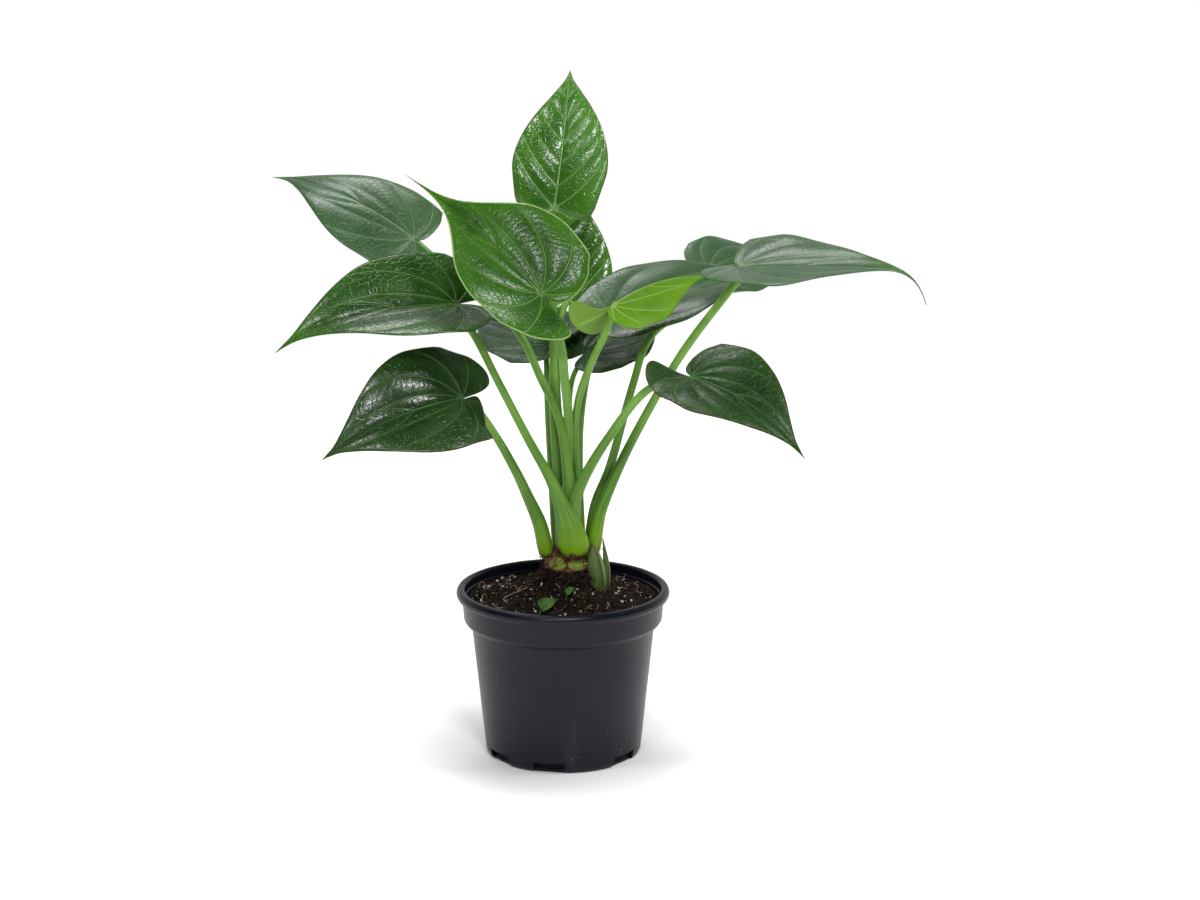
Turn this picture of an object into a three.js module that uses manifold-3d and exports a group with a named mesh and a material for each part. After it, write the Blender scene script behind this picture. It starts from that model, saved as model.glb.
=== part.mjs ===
// Dwarf alocasia in a black nursery pot. Millimetres, +Z up, the origin at the centre of the pot's foot,
// the front towards -Y. Every leaf is a blade and a petiole whose broad base clasps the stout stem.
import * as THREE from 'three';
import { mergeVertices } from 'three/addons/utils/BufferGeometryUtils.js';
import Module from 'manifold-3d';

const wasm = await Module();
wasm.setup();

// Clearance between pieces that touch
const GAP = 0.3;

// Pot, outside from foot to rim
const POT_SEGMENTS = 40;
const POT_HEIGHT = 136;
const RIM_RADIUS = 85;
const RIM_DEPTH = 7.5;
const BAND_TOP_RADIUS = 80.4;
const BAND_FOOT_RADIUS = 79.2;
const BAND_FOOT_HEIGHT = 111;
const BODY_TOP_RADIUS = 73;
const BODY_TOP_HEIGHT = 106;
const BODY_FOOT_RADIUS = 62.5;
const FOOT_ROUND = 5;

// Pot, inside
const MOUTH_RADIUS = 78.2;
const LEDGE_HEIGHT = 128.6;
const LEDGE_WIDTH = 1.2;
const POT_WALL = 1.8;
const POT_FLOOR = 2;

// Drainage notches in the pot's foot
const NOTCH_HEIGHT = 8.5;
const NOTCH_WIDTH = 25;
const NOTCH_ANGLES = [-55, -10, 52, 97, 142, 187, 240];

// Soil
const SOIL_SEGMENTS = 28;
const SOIL_RINGS = [0, 23, 30, 40, 56];
const SOIL_EDGE_HEIGHT = 126.5;
const SOIL_MOUND = 7;
const HEAP_HEIGHT = 13;
const HEAP_RADIUS = 25;
const SOIL_CLOD = 1.2;

// Stem
const STEM_SEGMENTS = 16;
const STEM_X = 5;
const STEM_Y = 4;
const STEM_RADIUS = 20;
const STEM_SHOULDER = 158;
const STEM_TOP = 167;
const STEM_ROOT = 92;

// Dry sheath round the stem
const DRY_FOOT = 149;
const DRY_BAND = 4;
const DRY_RAGGED = 8;
const DRY_THICK = 1.2;

// Blades
const BLADE_THICK = 0.9;
const BLADE_HEART = 0.03;
const EDGE_WAVES = 2.2;

// Half outline of a blade from its tip round to the notch. The first number says how far along the
// midrib, as a share of its length ahead of the petiole and of the lobe's reach behind it. The second
// says how far out, as a share of the half width.
const HALF_OUTLINE = [
  [1, 0],
  [0.93, 0.03],
  [0.84, 0.1],
  [0.71, 0.3],
  [0.56, 0.58],
  [0.4, 0.84],
  [0.24, 0.99],
  [0.09, 0.97],
  [-0.3, 0.84],
  [-0.72, 0.68],
  [-0.96, 0.42],
  [-0.94, 0.19],
  [-0.7, 0.08],
  [-0.35, 0.03],
  [-0.07, 0],
];

// Petioles
const PETIOLE_SIDES = 8;
const PETIOLE_STEPS = 12;
const PETIOLE_SWELL = 0.15;
const PETIOLE_END = 0.045;
const BASE_ROUND = 12;

const GREEN_DEEP = 0x1f5a22;
const GREEN_GREY = 0x4f7a58;
const GREEN_MID = 0x2f8420;
const GREEN_BRIGHT = 0x4f9a2c;
const GREEN_YOUNG = 0x8cc63f;
const GREEN_STALK = 0x6f9a35;
const GREEN_DULL = 0x5c7038;
const BLACK_PLASTIC = 0x2a2b30;
const SOIL_BROWN = 0x2b211b;
const STEM_BROWN = 0x6b5638;
const PAPER_BROWN = 0x8a6a4a;

// How a leaf is formed. at is where the petiole meets the blade and tip is the blade's point. roll turns
// the blade about its midrib, right side up. arch and sweep bend the midrib up and to the right, and
// droop moves the arch's crown towards the tip. Pairs are for the left and the right half: fold raises
// it, lobe raises its basal lobe and reach says how far back that lobe goes. curl bends both edges down,
// full makes the outline blunter, drip narrows it near the tip, taper narrows it towards the base, and
// wave is the height of the waves at the edge. rings and spokes say how finely it is faceted. path leads
// the petiole from the stem to the blade, base is its half width and half depth there, sheath is how far
// up it has lost half of that breadth, faces is where its broad side looks, stalk is its radius, and
// under is how far below the blade its end lies where it runs along the back.
const PLAIN_LEAF = {
  arch: 8, droop: 1, sweep: 0, fold: [8, 8], curl: 10, lobe: [0, 0], reach: [0.15, 0.15],
  full: 1, drip: 0, taper: 0, wave: 1, rings: 3, spokes: 14, base: [4.5, 4], sheath: 50, faces: -90, stalk: 2.6,
  under: 0,
};

// The leaves, inner ones first
const LEAVES = [
  {
    name: 'young', colour: GREEN_YOUNG,
    at: [39, -30, 370], tip: [122, 47, 378], width: 66, roll: 10, fold: [-38, -40],
    lobe: [22, 0], reach: [0.25, 0.1], stalk: 2.8, faces: -60,
    path: [[11, 0, 161], [11, -2, 215], [10, -5, 262], [13, -9, 292], [22, -17, 320], [32, -25, 344]],
  },
  {
    name: 'front', colour: GREEN_BRIGHT,
    at: [-16, -45, 382], tip: [-121, 5, 466], width: 106, roll: 41, arch: 4, sweep: 3, fold: [24, 14],
    lobe: [12, 0], reach: [0.33, 0.13], full: 0.94, drip: 0.65, base: [5.5, 4.5], faces: -100, stalk: 3.3,
    path: [[3, -2, 161], [4, -5, 225], [5, -10, 270], [2, -22, 310], [-2, -38, 346]],
  },
  {
    name: 'top', colour: GREEN_MID,
    at: [-6, 29, 436], tip: [6, 80, 538], width: 80, roll: 0, arch: 12, sweep: 4,
    reach: [0.12, 0.12], full: 1.28, taper: 0.4, faces: -100, stalk: 3, under: 2.8,
    path: [[-1, 5, 161], [-4, 4, 225], [-7, 6, 272], [-7, 14, 330], [-7, 28, 392]],
  },
  {
    name: 'right_inner', colour: GREEN_GREY,
    at: [42, 34, 349], tip: [160, 109, 369], width: 88, roll: -20, fold: [10, 12],
    reach: [0.2, 0.15], full: 1.35, faces: 30, stalk: 2.4,
    path: [[14, 9, 160], [13, 9, 225], [15, 9, 277], [24, 16, 318]],
  },
  {
    name: 'back_upright', colour: GREEN_MID,
    at: [4, 80, 353], tip: [3, 135, 455], width: 71, roll: 0, faces: 90, stalk: 2.5,
    path: [[5, 13, 160], [1, 20, 225], [-4, 28, 280], [-5, 42, 316], [-2, 60, 340]],
  },
  {
    name: 'back_left', colour: GREEN_DEEP,
    at: [-11, 60, 320], tip: [-79, 138, 326], width: 90, roll: 14, arch: 6,
    reach: [0.15, 0.06], faces: 120, stalk: 2.2,
    path: [[-4, 12, 159], [-9, 14, 225], [-12, 24, 275], [-13, 42, 303]],
  },
  {
    name: 'back_right', colour: GREEN_DEEP,
    at: [18, 60, 314], tip: [84, 139, 325], width: 84, roll: -14, arch: 6,
    reach: [0.2, 0.22], faces: 70, stalk: 2,
    path: [[12, 16, 159], [9, 17, 225], [5, 22, 270], [8, 40, 298]],
  },
  {
    name: 'right_back', colour: GREEN_GREY,
    at: [121, 144, 366], tip: [195, 204, 351], width: 76, roll: -28,
    base: [6.5, 5], faces: 20, stalk: 2.8, under: 1,
    path: [[21, 9, 160], [26, 13, 199], [38, 21, 231], [56, 35, 294], [69, 49, 328], [99, 91, 345]],
  },
  {
    name: 'left_upper', colour: GREEN_GREY,
    at: [-118, 40, 410], tip: [-236, 116, 447], width: 88, roll: 30, arch: 15, fold: [7, -5],
    reach: [0.24, 0.05], base: [9, 5], faces: -110, stalk: 2.8,
    path: [
      [8, -7, 162], [5, -13, 225], [-2, -9, 274], [-17, 4, 305], [-33, 18, 336], [-60, 30, 364], [-92, 42, 386],
    ],
  },
  {
    name: 'right_long', colour: GREEN_GREY,
    at: [140, 20, 391], tip: [283, -8, 366], width: 92, roll: -15, arch: 24, droop: 10, fold: [12, 12],
    reach: [0.05, 0.19], full: 0.88, drip: 0.4, wave: 1.5, rings: 5, base: [7, 6], faces: -20, stalk: 3,
    path: [[24, 3, 162], [27, 6, 186], [33, 10, 205], [57, 15, 256], [93, 18, 320], [131, 19, 372]],
  },
  {
    name: 'right_lower', colour: GREEN_DEEP,
    at: [100, -65, 321], tip: [183, -123, 271], width: 86, roll: -27, arch: 11, sweep: -3, fold: [10, 19],
    lobe: [0, 15], reach: [0.1, 0.31], full: 1.06, base: [7.5, 6], faces: -60, stalk: 3,
    path: [[9, -9, 162], [8, -14, 194], [13, -18, 221], [35, -28, 263], [67, -44, 307]],
  },
  {
    name: 'left_lower', colour: GREEN_DEEP,
    at: [-77, -60, 303], tip: [-180, -110, 267], width: 96, roll: 45, arch: 16, fold: [15, 15],
    lobe: [16, 2], reach: [0.1, 0.27], full: 1.16, base: [7.5, 6], faces: -150, stalk: 2.9,
    path: [
      [-13, -1, 161], [-18, -5, 188], [-28, -10, 214], [-37, -14, 235], [-51, -28, 265], [-66, -48, 292],
    ],
  },
  {
    name: 'left_long', colour: GREEN_DEEP,
    at: [-82, -25, 370], tip: [-218, -60, 339], width: 100, roll: 26, arch: 16, droop: 2, fold: [15, 25],
    reach: [0.15, 0.2], full: 1.12, base: [12.5, 7], sheath: 38, faces: -95, stalk: 2.8,
    path: [
      [9, -14, 165], [8, -17, 179], [2, -21, 201], [-9, -24, 230], [-26, -25, 262], [-50, -26, 310],
      [-69, -26, 348],
    ],
  },
].map((leaf) => ({ ...PLAIN_LEAF, ...leaf }));

// Young plants from seed that stand in the soil before the stem, each a small leaf on a thin stalk
const SEEDLINGS = [
  {
    name: 'seedling_left', at: [-17, -50, 134], tip: [-3, -46, 139], width: 11, roll: -40,
    foot: [-19, -51, 122],
  },
  {
    name: 'seedling_right', at: [3, -27, 138.5], tip: [10, -26, 142.5], width: 6.5, roll: -35,
    foot: [2, -28, 126],
  },
].map((leaf) => ({
  ...PLAIN_LEAF, arch: 1, wave: 0, reach: [0.05, 0.05], full: 1.3, rings: 1, spokes: 7, ...leaf,
}));
const SEEDLING_STALK = 0.9;

// Pointed shoots at the foot of the stem: the way up and the radius at each point of it
const SHOOTS = [
  {
    name: 'offset_shoot', radii: [5, 7.2, 6, 0.8],
    path: [[27, -4, 112], [27, -5, 137], [25.5, -6, 156], [23, -8, 174]],
  },
  {
    name: 'offset_bract', radii: [3, 3.6, 2.6, 0.5],
    path: [[33.5, 3, 114], [34.5, 2, 140], [34.3, 1, 156], [31.7, 0, 176]],
  },
];
const SHOOT_SIDES = 10;
const SHOOT_STEPS = 8;

const plant = new THREE.Group();

function addMesh(name, geometry, colour, roughness) {
  geometry.computeVertexNormals();
  const material = new THREE.MeshStandardMaterial({ color: colour, roughness, metalness: 0 });
  const mesh = new THREE.Mesh(geometry, material);
  mesh.name = name;
  plant.add(mesh);
}

function closedGeometry(positions, index) {
  const geometry = new THREE.BufferGeometry();
  geometry.setAttribute('position', new THREE.Float32BufferAttribute(positions, 3));
  geometry.setIndex(index);
  return geometry;
}

// A geometry with its shared vertices merged, as a solid that can be joined and cut.
function toSolid(geometry) {
  const bare = geometry.clone();
  bare.deleteAttribute('normal');
  bare.deleteAttribute('uv');
  const merged = mergeVertices(bare, 1e-4);
  const corners = merged.index.array;
  const kept = [];
  for (let i = 0; i < corners.length; i += 3) {
    const [a, b, c] = corners.subarray(i, i + 3);
    if (a !== b && b !== c && c !== a) {
      kept.push(a, b, c);
    }
  }
  return new wasm.Manifold(new wasm.Mesh({
    numProp: 3,
    vertProperties: new Float32Array(merged.attributes.position.array),
    triVerts: new Uint32Array(kept),
  }));
}

// The largest body of a solid as a geometry, without the loose scraps that a cut leaves.
function largestBody(solid) {
  const bodies = solid.decompose();
  bodies.sort((a, b) => b.volume() - a.volume());
  const mesh = bodies[0].getMesh();
  return closedGeometry([...mesh.vertProperties], [...mesh.triVerts]);
}

// Evenly spread draws between -1 and 1 that are the same on every run.
function seededDraws(seed) {
  let state = seed;
  return () => {
    state = (state * 1664525 + 1013904223) % 4294967296;
    return state / 2147483648 - 1;
  };
}

function lathe(profile, segments) {
  const geometry = new THREE.LatheGeometry(profile.map((p) => new THREE.Vector2(...p)), segments);
  return geometry.rotateX(Math.PI / 2);
}

function arcPoints(radius, height, size, from, to, steps) {
  const points = [];
  for (let i = 0; i <= steps; i++) {
    const angle = THREE.MathUtils.degToRad(from + (to - from) * i / steps);
    points.push([radius + size * Math.cos(angle), height + size * Math.sin(angle)]);
  }
  return points;
}

// Inside of the pot, from the ledge down to the floor's edge.
function potInside() {
  return [
    [MOUTH_RADIUS - LEDGE_WIDTH, LEDGE_HEIGHT - 0.6],
    [BAND_FOOT_RADIUS - POT_WALL - 1, BAND_FOOT_HEIGHT + 1],
    [BODY_TOP_RADIUS - POT_WALL, BODY_TOP_HEIGHT],
    [BODY_FOOT_RADIUS - POT_WALL, FOOT_ROUND + 1],
    [BODY_FOOT_RADIUS - FOOT_ROUND, POT_FLOOR],
  ];
}

function potGeometry() {
  const rimFoot = POT_HEIGHT - RIM_DEPTH;
  const profile = [
    [0, 0],
    ...arcPoints(BODY_FOOT_RADIUS - FOOT_ROUND, FOOT_ROUND, FOOT_ROUND, -90, 0, 3),
    [BODY_TOP_RADIUS, BODY_TOP_HEIGHT],
    [BAND_FOOT_RADIUS - 2, BODY_TOP_HEIGHT + 2],
    [BAND_FOOT_RADIUS, BAND_FOOT_HEIGHT],
    [BAND_TOP_RADIUS, rimFoot - 1.5],
    [BAND_TOP_RADIUS + 1.2, rimFoot],
    [RIM_RADIUS - 1, rimFoot],
    [RIM_RADIUS, rimFoot + 2.2],
    [RIM_RADIUS, POT_HEIGHT - 3],
    [RIM_RADIUS - 1.4, POT_HEIGHT - 0.6],
    [RIM_RADIUS - 3.2, POT_HEIGHT],
    [MOUTH_RADIUS + 1.4, POT_HEIGHT],
    [MOUTH_RADIUS, POT_HEIGHT - 1.6],
    [MOUTH_RADIUS, LEDGE_HEIGHT],
    ...potInside(),
    [0, POT_FLOOR],
  ];
  let pot = toSolid(lathe(profile, POT_SEGMENTS));
  const reach = 2 * FOOT_ROUND;
  for (const angle of NOTCH_ANGLES) {
    const notch = new THREE.BoxGeometry(NOTCH_WIDTH, reach, 2 * NOTCH_HEIGHT);
    notch.translate(0, -BODY_FOOT_RADIUS, 0);
    notch.rotateZ(THREE.MathUtils.degToRad(angle));
    pot = pot.subtract(toSolid(notch));
  }
  return largestBody(pot);
}

// Height of the soil's top before its clods: a low mound in the pot, heaped up round the stem.
function soilHeight(x, y) {
  const share = Math.min(Math.hypot(x, y) / (MOUTH_RADIUS - LEDGE_WIDTH), 1);
  const mound = SOIL_MOUND * (0.5 + 0.5 * Math.cos(Math.PI * share));
  const away = Math.hypot(x - STEM_X, y - STEM_Y) / HEAP_RADIUS;
  return SOIL_EDGE_HEIGHT + mound + HEAP_HEIGHT / (1 + Math.pow(away, 8));
}

function soilGeometry() {
  const draw = seededDraws(7);
  const rim = MOUTH_RADIUS - LEDGE_WIDTH - 2 * GAP;
  const profile = [...SOIL_RINGS, rim].reverse().map((radius) => [radius, SOIL_EDGE_HEIGHT]);
  for (const [radius, height] of potInside().slice(1)) {
    profile.unshift([radius - 2 * GAP, height + GAP]);
  }
  profile.unshift([0, POT_FLOOR + GAP]);
  const geometry = mergeVertices(stripped(lathe(profile, SOIL_SEGMENTS)), 1e-3);
  const place = geometry.attributes.position;
  for (let i = 0; i < place.count; i++) {
    const [x, y] = [place.getX(i), place.getY(i)];
    if (place.getZ(i) > SOIL_EDGE_HEIGHT - 1 && Math.hypot(x, y) < rim - 1) {
      place.setZ(i, soilHeight(x, y) + SOIL_CLOD * draw());
    }
  }
  return geometry;
}

function stripped(geometry) {
  geometry.deleteAttribute('normal');
  geometry.deleteAttribute('uv');
  return geometry;
}

// The stout stem with its leaf scars as low rings, widened by grow where it cuts its hole in the soil.
function stemGeometry(grow) {
  const profile = [
    [0, STEM_ROOT - grow],
    [10 + grow, STEM_ROOT - grow],
    [STEM_RADIUS - 5 + grow, 108],
    [STEM_RADIUS - 1 + grow, 126],
    [STEM_RADIUS + grow, 138],
    [STEM_RADIUS + 1 + grow, 144],
    [STEM_RADIUS - 0.5 + grow, 146],
    [STEM_RADIUS + 0.5 + grow, 152],
    [STEM_RADIUS - 1 + grow, 154],
    [STEM_RADIUS - 0.5 + grow, STEM_SHOULDER],
    [STEM_RADIUS - 5 + grow, STEM_SHOULDER + 6],
    [7 + grow, STEM_TOP],
    [0, STEM_TOP + grow],
  ];
  return lathe(profile, STEM_SEGMENTS).translate(STEM_X, STEM_Y, 0);
}

// A ring of dry sheath round the stem, torn into uneven points at its upper edge.
function drySheathGeometry() {
  const draw = seededDraws(19);
  const count = STEM_SEGMENTS + 8;
  const inside = STEM_RADIUS + 1 + GAP;
  const positions = [];
  const index = [];
  for (let i = 0; i < count; i++) {
    const angle = 2 * Math.PI * i / count;
    const top = DRY_FOOT + DRY_BAND + DRY_RAGGED * (0.5 + 0.5 * draw()) * (i % 2);
    const flare = 0.12 * (top - DRY_FOOT);
    for (const [radius, height] of [
      [inside, DRY_FOOT],
      [inside + DRY_THICK, DRY_FOOT],
      [inside + DRY_THICK + flare, top],
      [inside + flare, top],
    ]) {
      positions.push(STEM_X + radius * Math.cos(angle), STEM_Y + radius * Math.sin(angle), height);
    }
  }
  for (let i = 0; i < count; i++) {
    const next = (i + 1) % count;
    for (let k = 0; k < 4; k++) {
      const a = 4 * i + k;
      const b = 4 * i + (k + 1) % 4;
      const c = 4 * next + k;
      const d = 4 * next + (k + 1) % 4;
      index.push(a, c, b, b, c, d);
    }
  }
  return closedGeometry(positions, index);
}

// A closed stalk along a curve. sizeAt gives the half width and half depth of its oval section for a
// share of the length and a distance from its foot, and outward is the way its broad side looks.
function stalkGeometry(points, sizeAt, outward, steps, sides) {
  const curve = new THREE.CatmullRomCurve3(points.map((p) => new THREE.Vector3(...p)), false, 'catmullrom');
  const length = curve.getLength();
  const positions = [];
  const index = [];
  for (let i = 0; i <= steps; i++) {
    const share = Math.pow(i / steps, 1.4);
    const centre = curve.getPointAt(share);
    const tangent = curve.getTangentAt(share);
    const wide = new THREE.Vector3().crossVectors(tangent, outward).normalize();
    const deep = new THREE.Vector3().crossVectors(wide, tangent);
    const [halfWidth, halfDepth] = sizeAt(share, share * length);
    for (let k = 0; k < sides; k++) {
      const angle = 2 * Math.PI * k / sides;
      const rim = centre.clone()
        .addScaledVector(wide, halfWidth * Math.cos(angle))
        .addScaledVector(deep, halfDepth * Math.sin(angle));
      positions.push(...rim.toArray());
    }
  }
  for (let i = 0; i < steps; i++) {
    for (let k = 0; k < sides; k++) {
      const a = i * sides + k;
      const b = i * sides + (k + 1) % sides;
      index.push(a, a + sides, b, b, a + sides, b + sides);
    }
  }
  const last = steps * sides;
  for (let k = 1; k < sides - 1; k++) {
    index.push(0, k, k + 1);
    index.push(last, last + k + 1, last + k);
  }
  return closedGeometry(positions, index);
}

function petioleGeometry(leaf, grow) {
  const outward = new THREE.Vector3(1, 0, 0);
  outward.applyAxisAngle(new THREE.Vector3(0, 0, 1), THREE.MathUtils.degToRad(leaf.faces));
  const end = bladePlace(leaf, PETIOLE_END, 0, -BLADE_THICK / 2 - leaf.under).toArray();
  const sizeAt = (share, distance) => {
    const sheath = 1 / (1 + Math.pow(distance / leaf.sheath, 3));
    const stalk = leaf.stalk * (1 + PETIOLE_SWELL * (1 - share));
    const early = Math.min(distance / BASE_ROUND, 1);
    const rounded = 0.4 + 0.6 * Math.sqrt(1 - (1 - early) * (1 - early));
    return leaf.base.map((size) => (stalk + (size - stalk) * sheath) * rounded + grow);
  };
  const foot = [...leaf.path[0]];
  foot[2] -= grow;
  return stalkGeometry([foot, ...leaf.path.slice(1), end], sizeAt, outward, PETIOLE_STEPS, PETIOLE_SIDES);
}

function shootGeometry(shoot, grow) {
  const outward = new THREE.Vector3(0, -1, 0);
  const sizeAt = (share) => {
    const place = share * (shoot.radii.length - 1);
    const lower = Math.min(Math.floor(place), shoot.radii.length - 2);
    const radius = THREE.MathUtils.lerp(shoot.radii[lower], shoot.radii[lower + 1], place - lower);
    return [radius + grow, radius + grow];
  };
  return stalkGeometry(shoot.path, sizeAt, outward, SHOOT_STEPS, SHOOT_SIDES);
}

function seedlingStalk(seedling, grow) {
  const end = bladePlace(seedling, 0.15, 0, 0).toArray();
  const middle = seedling.at.map((value, k) => (value + seedling.foot[k]) / 2);
  const sizeAt = () => [SEEDLING_STALK + grow, SEEDLING_STALK + grow];
  const foot = [...seedling.foot];
  foot[2] -= grow;
  return stalkGeometry([foot, middle, end], sizeAt, new THREE.Vector3(0, -1, 0), 4, 6);
}

// A blade's place for a point of its flat shape: along is the share of the midrib, across is in mm,
// positive to the right, and lift is how far above the middle of the blade's thickness.
function bladePlace(leaf, along, across, lift) {
  const at = new THREE.Vector3(...leaf.at);
  const forward = new THREE.Vector3(...leaf.tip).sub(at);
  const length = forward.length();
  forward.normalize();
  const side = new THREE.Vector3().crossVectors(forward, new THREE.Vector3(0, 0, 1)).normalize();
  side.applyAxisAngle(forward, -THREE.MathUtils.degToRad(leaf.roll));
  const up = new THREE.Vector3().crossVectors(side, forward);

  const hand = across < 0 ? 0 : 1;
  const sign = hand === 0 ? -1 : 1;
  const ahead = Math.max(along, 0);
  const crown = Math.pow(1 / (leaf.droop + 1), 1 / leaf.droop);
  const peak = crown * leaf.droop / (leaf.droop + 1);
  const rise = (along - Math.pow(ahead, leaf.droop + 1)) / peak;
  const slope = (1 - (leaf.droop + 1) * Math.pow(ahead, leaf.droop)) / peak / length;
  const back = Math.min(along, 0) / leaf.reach[hand];
  const spine = at.clone()
    .addScaledVector(forward, along * length)
    .addScaledVector(up, leaf.arch * rise + leaf.lobe[hand] * back * back)
    .addScaledVector(side, leaf.sweep * rise);
  const tangent = forward.clone()
    .addScaledVector(up, leaf.arch * slope + leaf.lobe[hand] * 2 * back / leaf.reach[hand] / length)
    .addScaledVector(side, leaf.sweep * slope)
    .normalize();
  const right = new THREE.Vector3().crossVectors(tangent, up).normalize();
  const above = new THREE.Vector3().crossVectors(right, tangent);

  const out = Math.abs(across);
  const share = out / (leaf.width / 2);
  const fold = THREE.MathUtils.degToRad(leaf.fold[hand]);
  const curl = THREE.MathUtils.degToRad(leaf.curl);
  const chordAngle = fold - curl * share / 2;
  const faceAngle = fold - curl * share;
  const ripple = leaf.wave * share * share * Math.sin(2 * Math.PI * EDGE_WAVES * along + sign);
  return spine
    .addScaledVector(right, sign * out * Math.cos(chordAngle) - sign * lift * Math.sin(faceAngle))
    .addScaledVector(above, out * Math.sin(chordAngle) + ripple + lift * Math.cos(faceAngle));
}

// The blade's edge in its flat shape, once round from the tip down the right and back up the left.
function bladeEdge(leaf) {
  const half = new THREE.SplineCurve(HALF_OUTLINE.map((p) => new THREE.Vector2(...p)));
  const edge = [];
  for (let i = 0; i < 2 * leaf.spokes; i++) {
    const share = i / leaf.spokes;
    const hand = share < 1 ? 1 : 0;
    const p = half.getPoint(hand === 1 ? share : 2 - share);
    const along = p.x < 0 ? p.x * leaf.reach[hand] : 1 - Math.pow(1 - p.x, leaf.full);
    const ahead = leaf.drip * THREE.MathUtils.smoothstep(along, 0.35, 0.85);
    const behind = leaf.taper * THREE.MathUtils.smoothstep(-p.x, -0.4, 0.6);
    const narrow = 1 - ahead - behind;
    edge.push([along, (hand === 1 ? 1 : -1) * p.y * narrow * leaf.width / 2]);
  }
  return edge;
}

// A blade is a fan of rings round the petiole's top, the same on both faces, closed at the edge.
function bladeGeometry(leaf, thick) {
  const edge = bladeEdge(leaf);
  const count = edge.length;
  const positions = [];
  const index = [];
  for (const lift of [thick / 2, -thick / 2]) {
    positions.push(...bladePlace(leaf, BLADE_HEART, 0, lift).toArray());
    for (let ring = 1; ring <= leaf.rings; ring++) {
      const share = Math.pow(ring / leaf.rings, 0.8);
      for (const [along, across] of edge) {
        const place = bladePlace(leaf, BLADE_HEART + (along - BLADE_HEART) * share, across * share, lift);
        positions.push(...place.toArray());
      }
    }
  }
  const under = 1 + leaf.rings * count;
  const vertex = (ring, i) => (ring === 0 ? 0 : 1 + (ring - 1) * count + (i % count));
  for (let i = 0; i < count; i++) {
    for (let ring = 0; ring < leaf.rings; ring++) {
      const a = vertex(ring, i);
      const b = vertex(ring, i + 1);
      const c = vertex(ring + 1, i);
      const d = vertex(ring + 1, i + 1);
      const faces = ring === 0 ? [[a, d, c]] : [[a, d, c], [a, b, d]];
      for (const [p, q, r] of faces) {
        index.push(p, q, r);
        index.push(under + p, under + r, under + q);
      }
    }
    const c = vertex(leaf.rings, i);
    const d = vertex(leaf.rings, i + 1);
    index.push(c, d, under + c, d, under + d, under + c);
  }
  return closedGeometry(positions, index);
}

// Each petiole clasps the ones inside it, so it is cut by them, and it stops just under its blade.
const innerStalks = [];
const petioles = [];
for (const leaf of LEAVES) {
  const blade = toSolid(bladeGeometry(leaf, BLADE_THICK + 2 * GAP));
  let petiole = toSolid(petioleGeometry(leaf, 0)).subtract(blade);
  for (const inner of innerStalks) {
    petiole = petiole.subtract(inner);
  }
  innerStalks.push(toSolid(petioleGeometry(leaf, GAP)));
  petioles.push(petiole);
}

let stem = toSolid(stemGeometry(0));
let drySheath = toSolid(drySheathGeometry());
let soil = toSolid(soilGeometry()).subtract(toSolid(stemGeometry(GAP)));
const seedlings = [];
for (const seedling of SEEDLINGS) {
  const blade = toSolid(bladeGeometry(seedling, BLADE_THICK));
  seedlings.push(blade.add(toSolid(seedlingStalk(seedling, 0))));
  soil = soil.subtract(toSolid(seedlingStalk(seedling, GAP)));
}
let shoots = SHOOTS.map((shoot) => toSolid(shootGeometry(shoot, 0)));
for (const stalk of innerStalks) {
  stem = stem.subtract(stalk);
  drySheath = drySheath.subtract(stalk);
  shoots = shoots.map((shoot) => shoot.subtract(stalk));
}
SHOOTS.forEach((shoot, i) => {
  const grown = toSolid(shootGeometry(shoot, GAP));
  stem = stem.subtract(grown);
  drySheath = drySheath.subtract(grown);
  soil = soil.subtract(grown);
  if (i > 0) {
    shoots[0] = shoots[0].subtract(grown);
  }
});

addMesh('pot', potGeometry(), BLACK_PLASTIC, 0.45);
addMesh('soil', largestBody(soil), SOIL_BROWN, 0.95);
addMesh('stem', largestBody(stem), STEM_BROWN, 0.8);
addMesh('dry_sheath', largestBody(drySheath), PAPER_BROWN, 0.8);
SHOOTS.forEach((shoot, i) => addMesh(shoot.name, largestBody(shoots[i]), GREEN_DULL, 0.6));
SEEDLINGS.forEach((seedling, i) => addMesh(seedling.name, largestBody(seedlings[i]), GREEN_BRIGHT, 0.4));
LEAVES.forEach((leaf, i) => {
  addMesh(`leaf_${leaf.name}_petiole`, largestBody(petioles[i]), GREEN_STALK, 0.4);
  addMesh(`leaf_${leaf.name}_blade`, bladeGeometry(leaf, BLADE_THICK), leaf.colour, 0.35);
});

export default plant;
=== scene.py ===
"""The look of the potted dwarf alocasia: blades, petioles, stem, soil and pot on the CAD model's frame."""

import math

import bpy
import numpy as np
from mathutils import Matrix, Vector


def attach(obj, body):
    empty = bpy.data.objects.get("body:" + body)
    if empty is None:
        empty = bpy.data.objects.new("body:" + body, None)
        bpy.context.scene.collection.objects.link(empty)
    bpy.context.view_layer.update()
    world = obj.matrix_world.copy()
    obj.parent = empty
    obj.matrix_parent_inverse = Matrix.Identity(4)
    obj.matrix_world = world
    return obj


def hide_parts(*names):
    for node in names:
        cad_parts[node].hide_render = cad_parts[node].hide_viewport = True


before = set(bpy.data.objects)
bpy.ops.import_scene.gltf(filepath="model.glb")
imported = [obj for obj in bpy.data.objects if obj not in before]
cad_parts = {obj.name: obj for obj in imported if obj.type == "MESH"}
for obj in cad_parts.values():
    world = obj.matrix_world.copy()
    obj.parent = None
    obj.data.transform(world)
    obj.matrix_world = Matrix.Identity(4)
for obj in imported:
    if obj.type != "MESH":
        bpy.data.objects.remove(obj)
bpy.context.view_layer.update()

MM = 0.001

# Millimetres that count as 1 in the UV maps
MAP_UNIT = 100

# About one turn in radians, for random turns
FULL_TURN = 6.28

# Where a stalk's outer side can face
FORWARD = np.array([0, -1, 0.0])
UPWARD = np.array([0, 0, 1.0])

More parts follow.
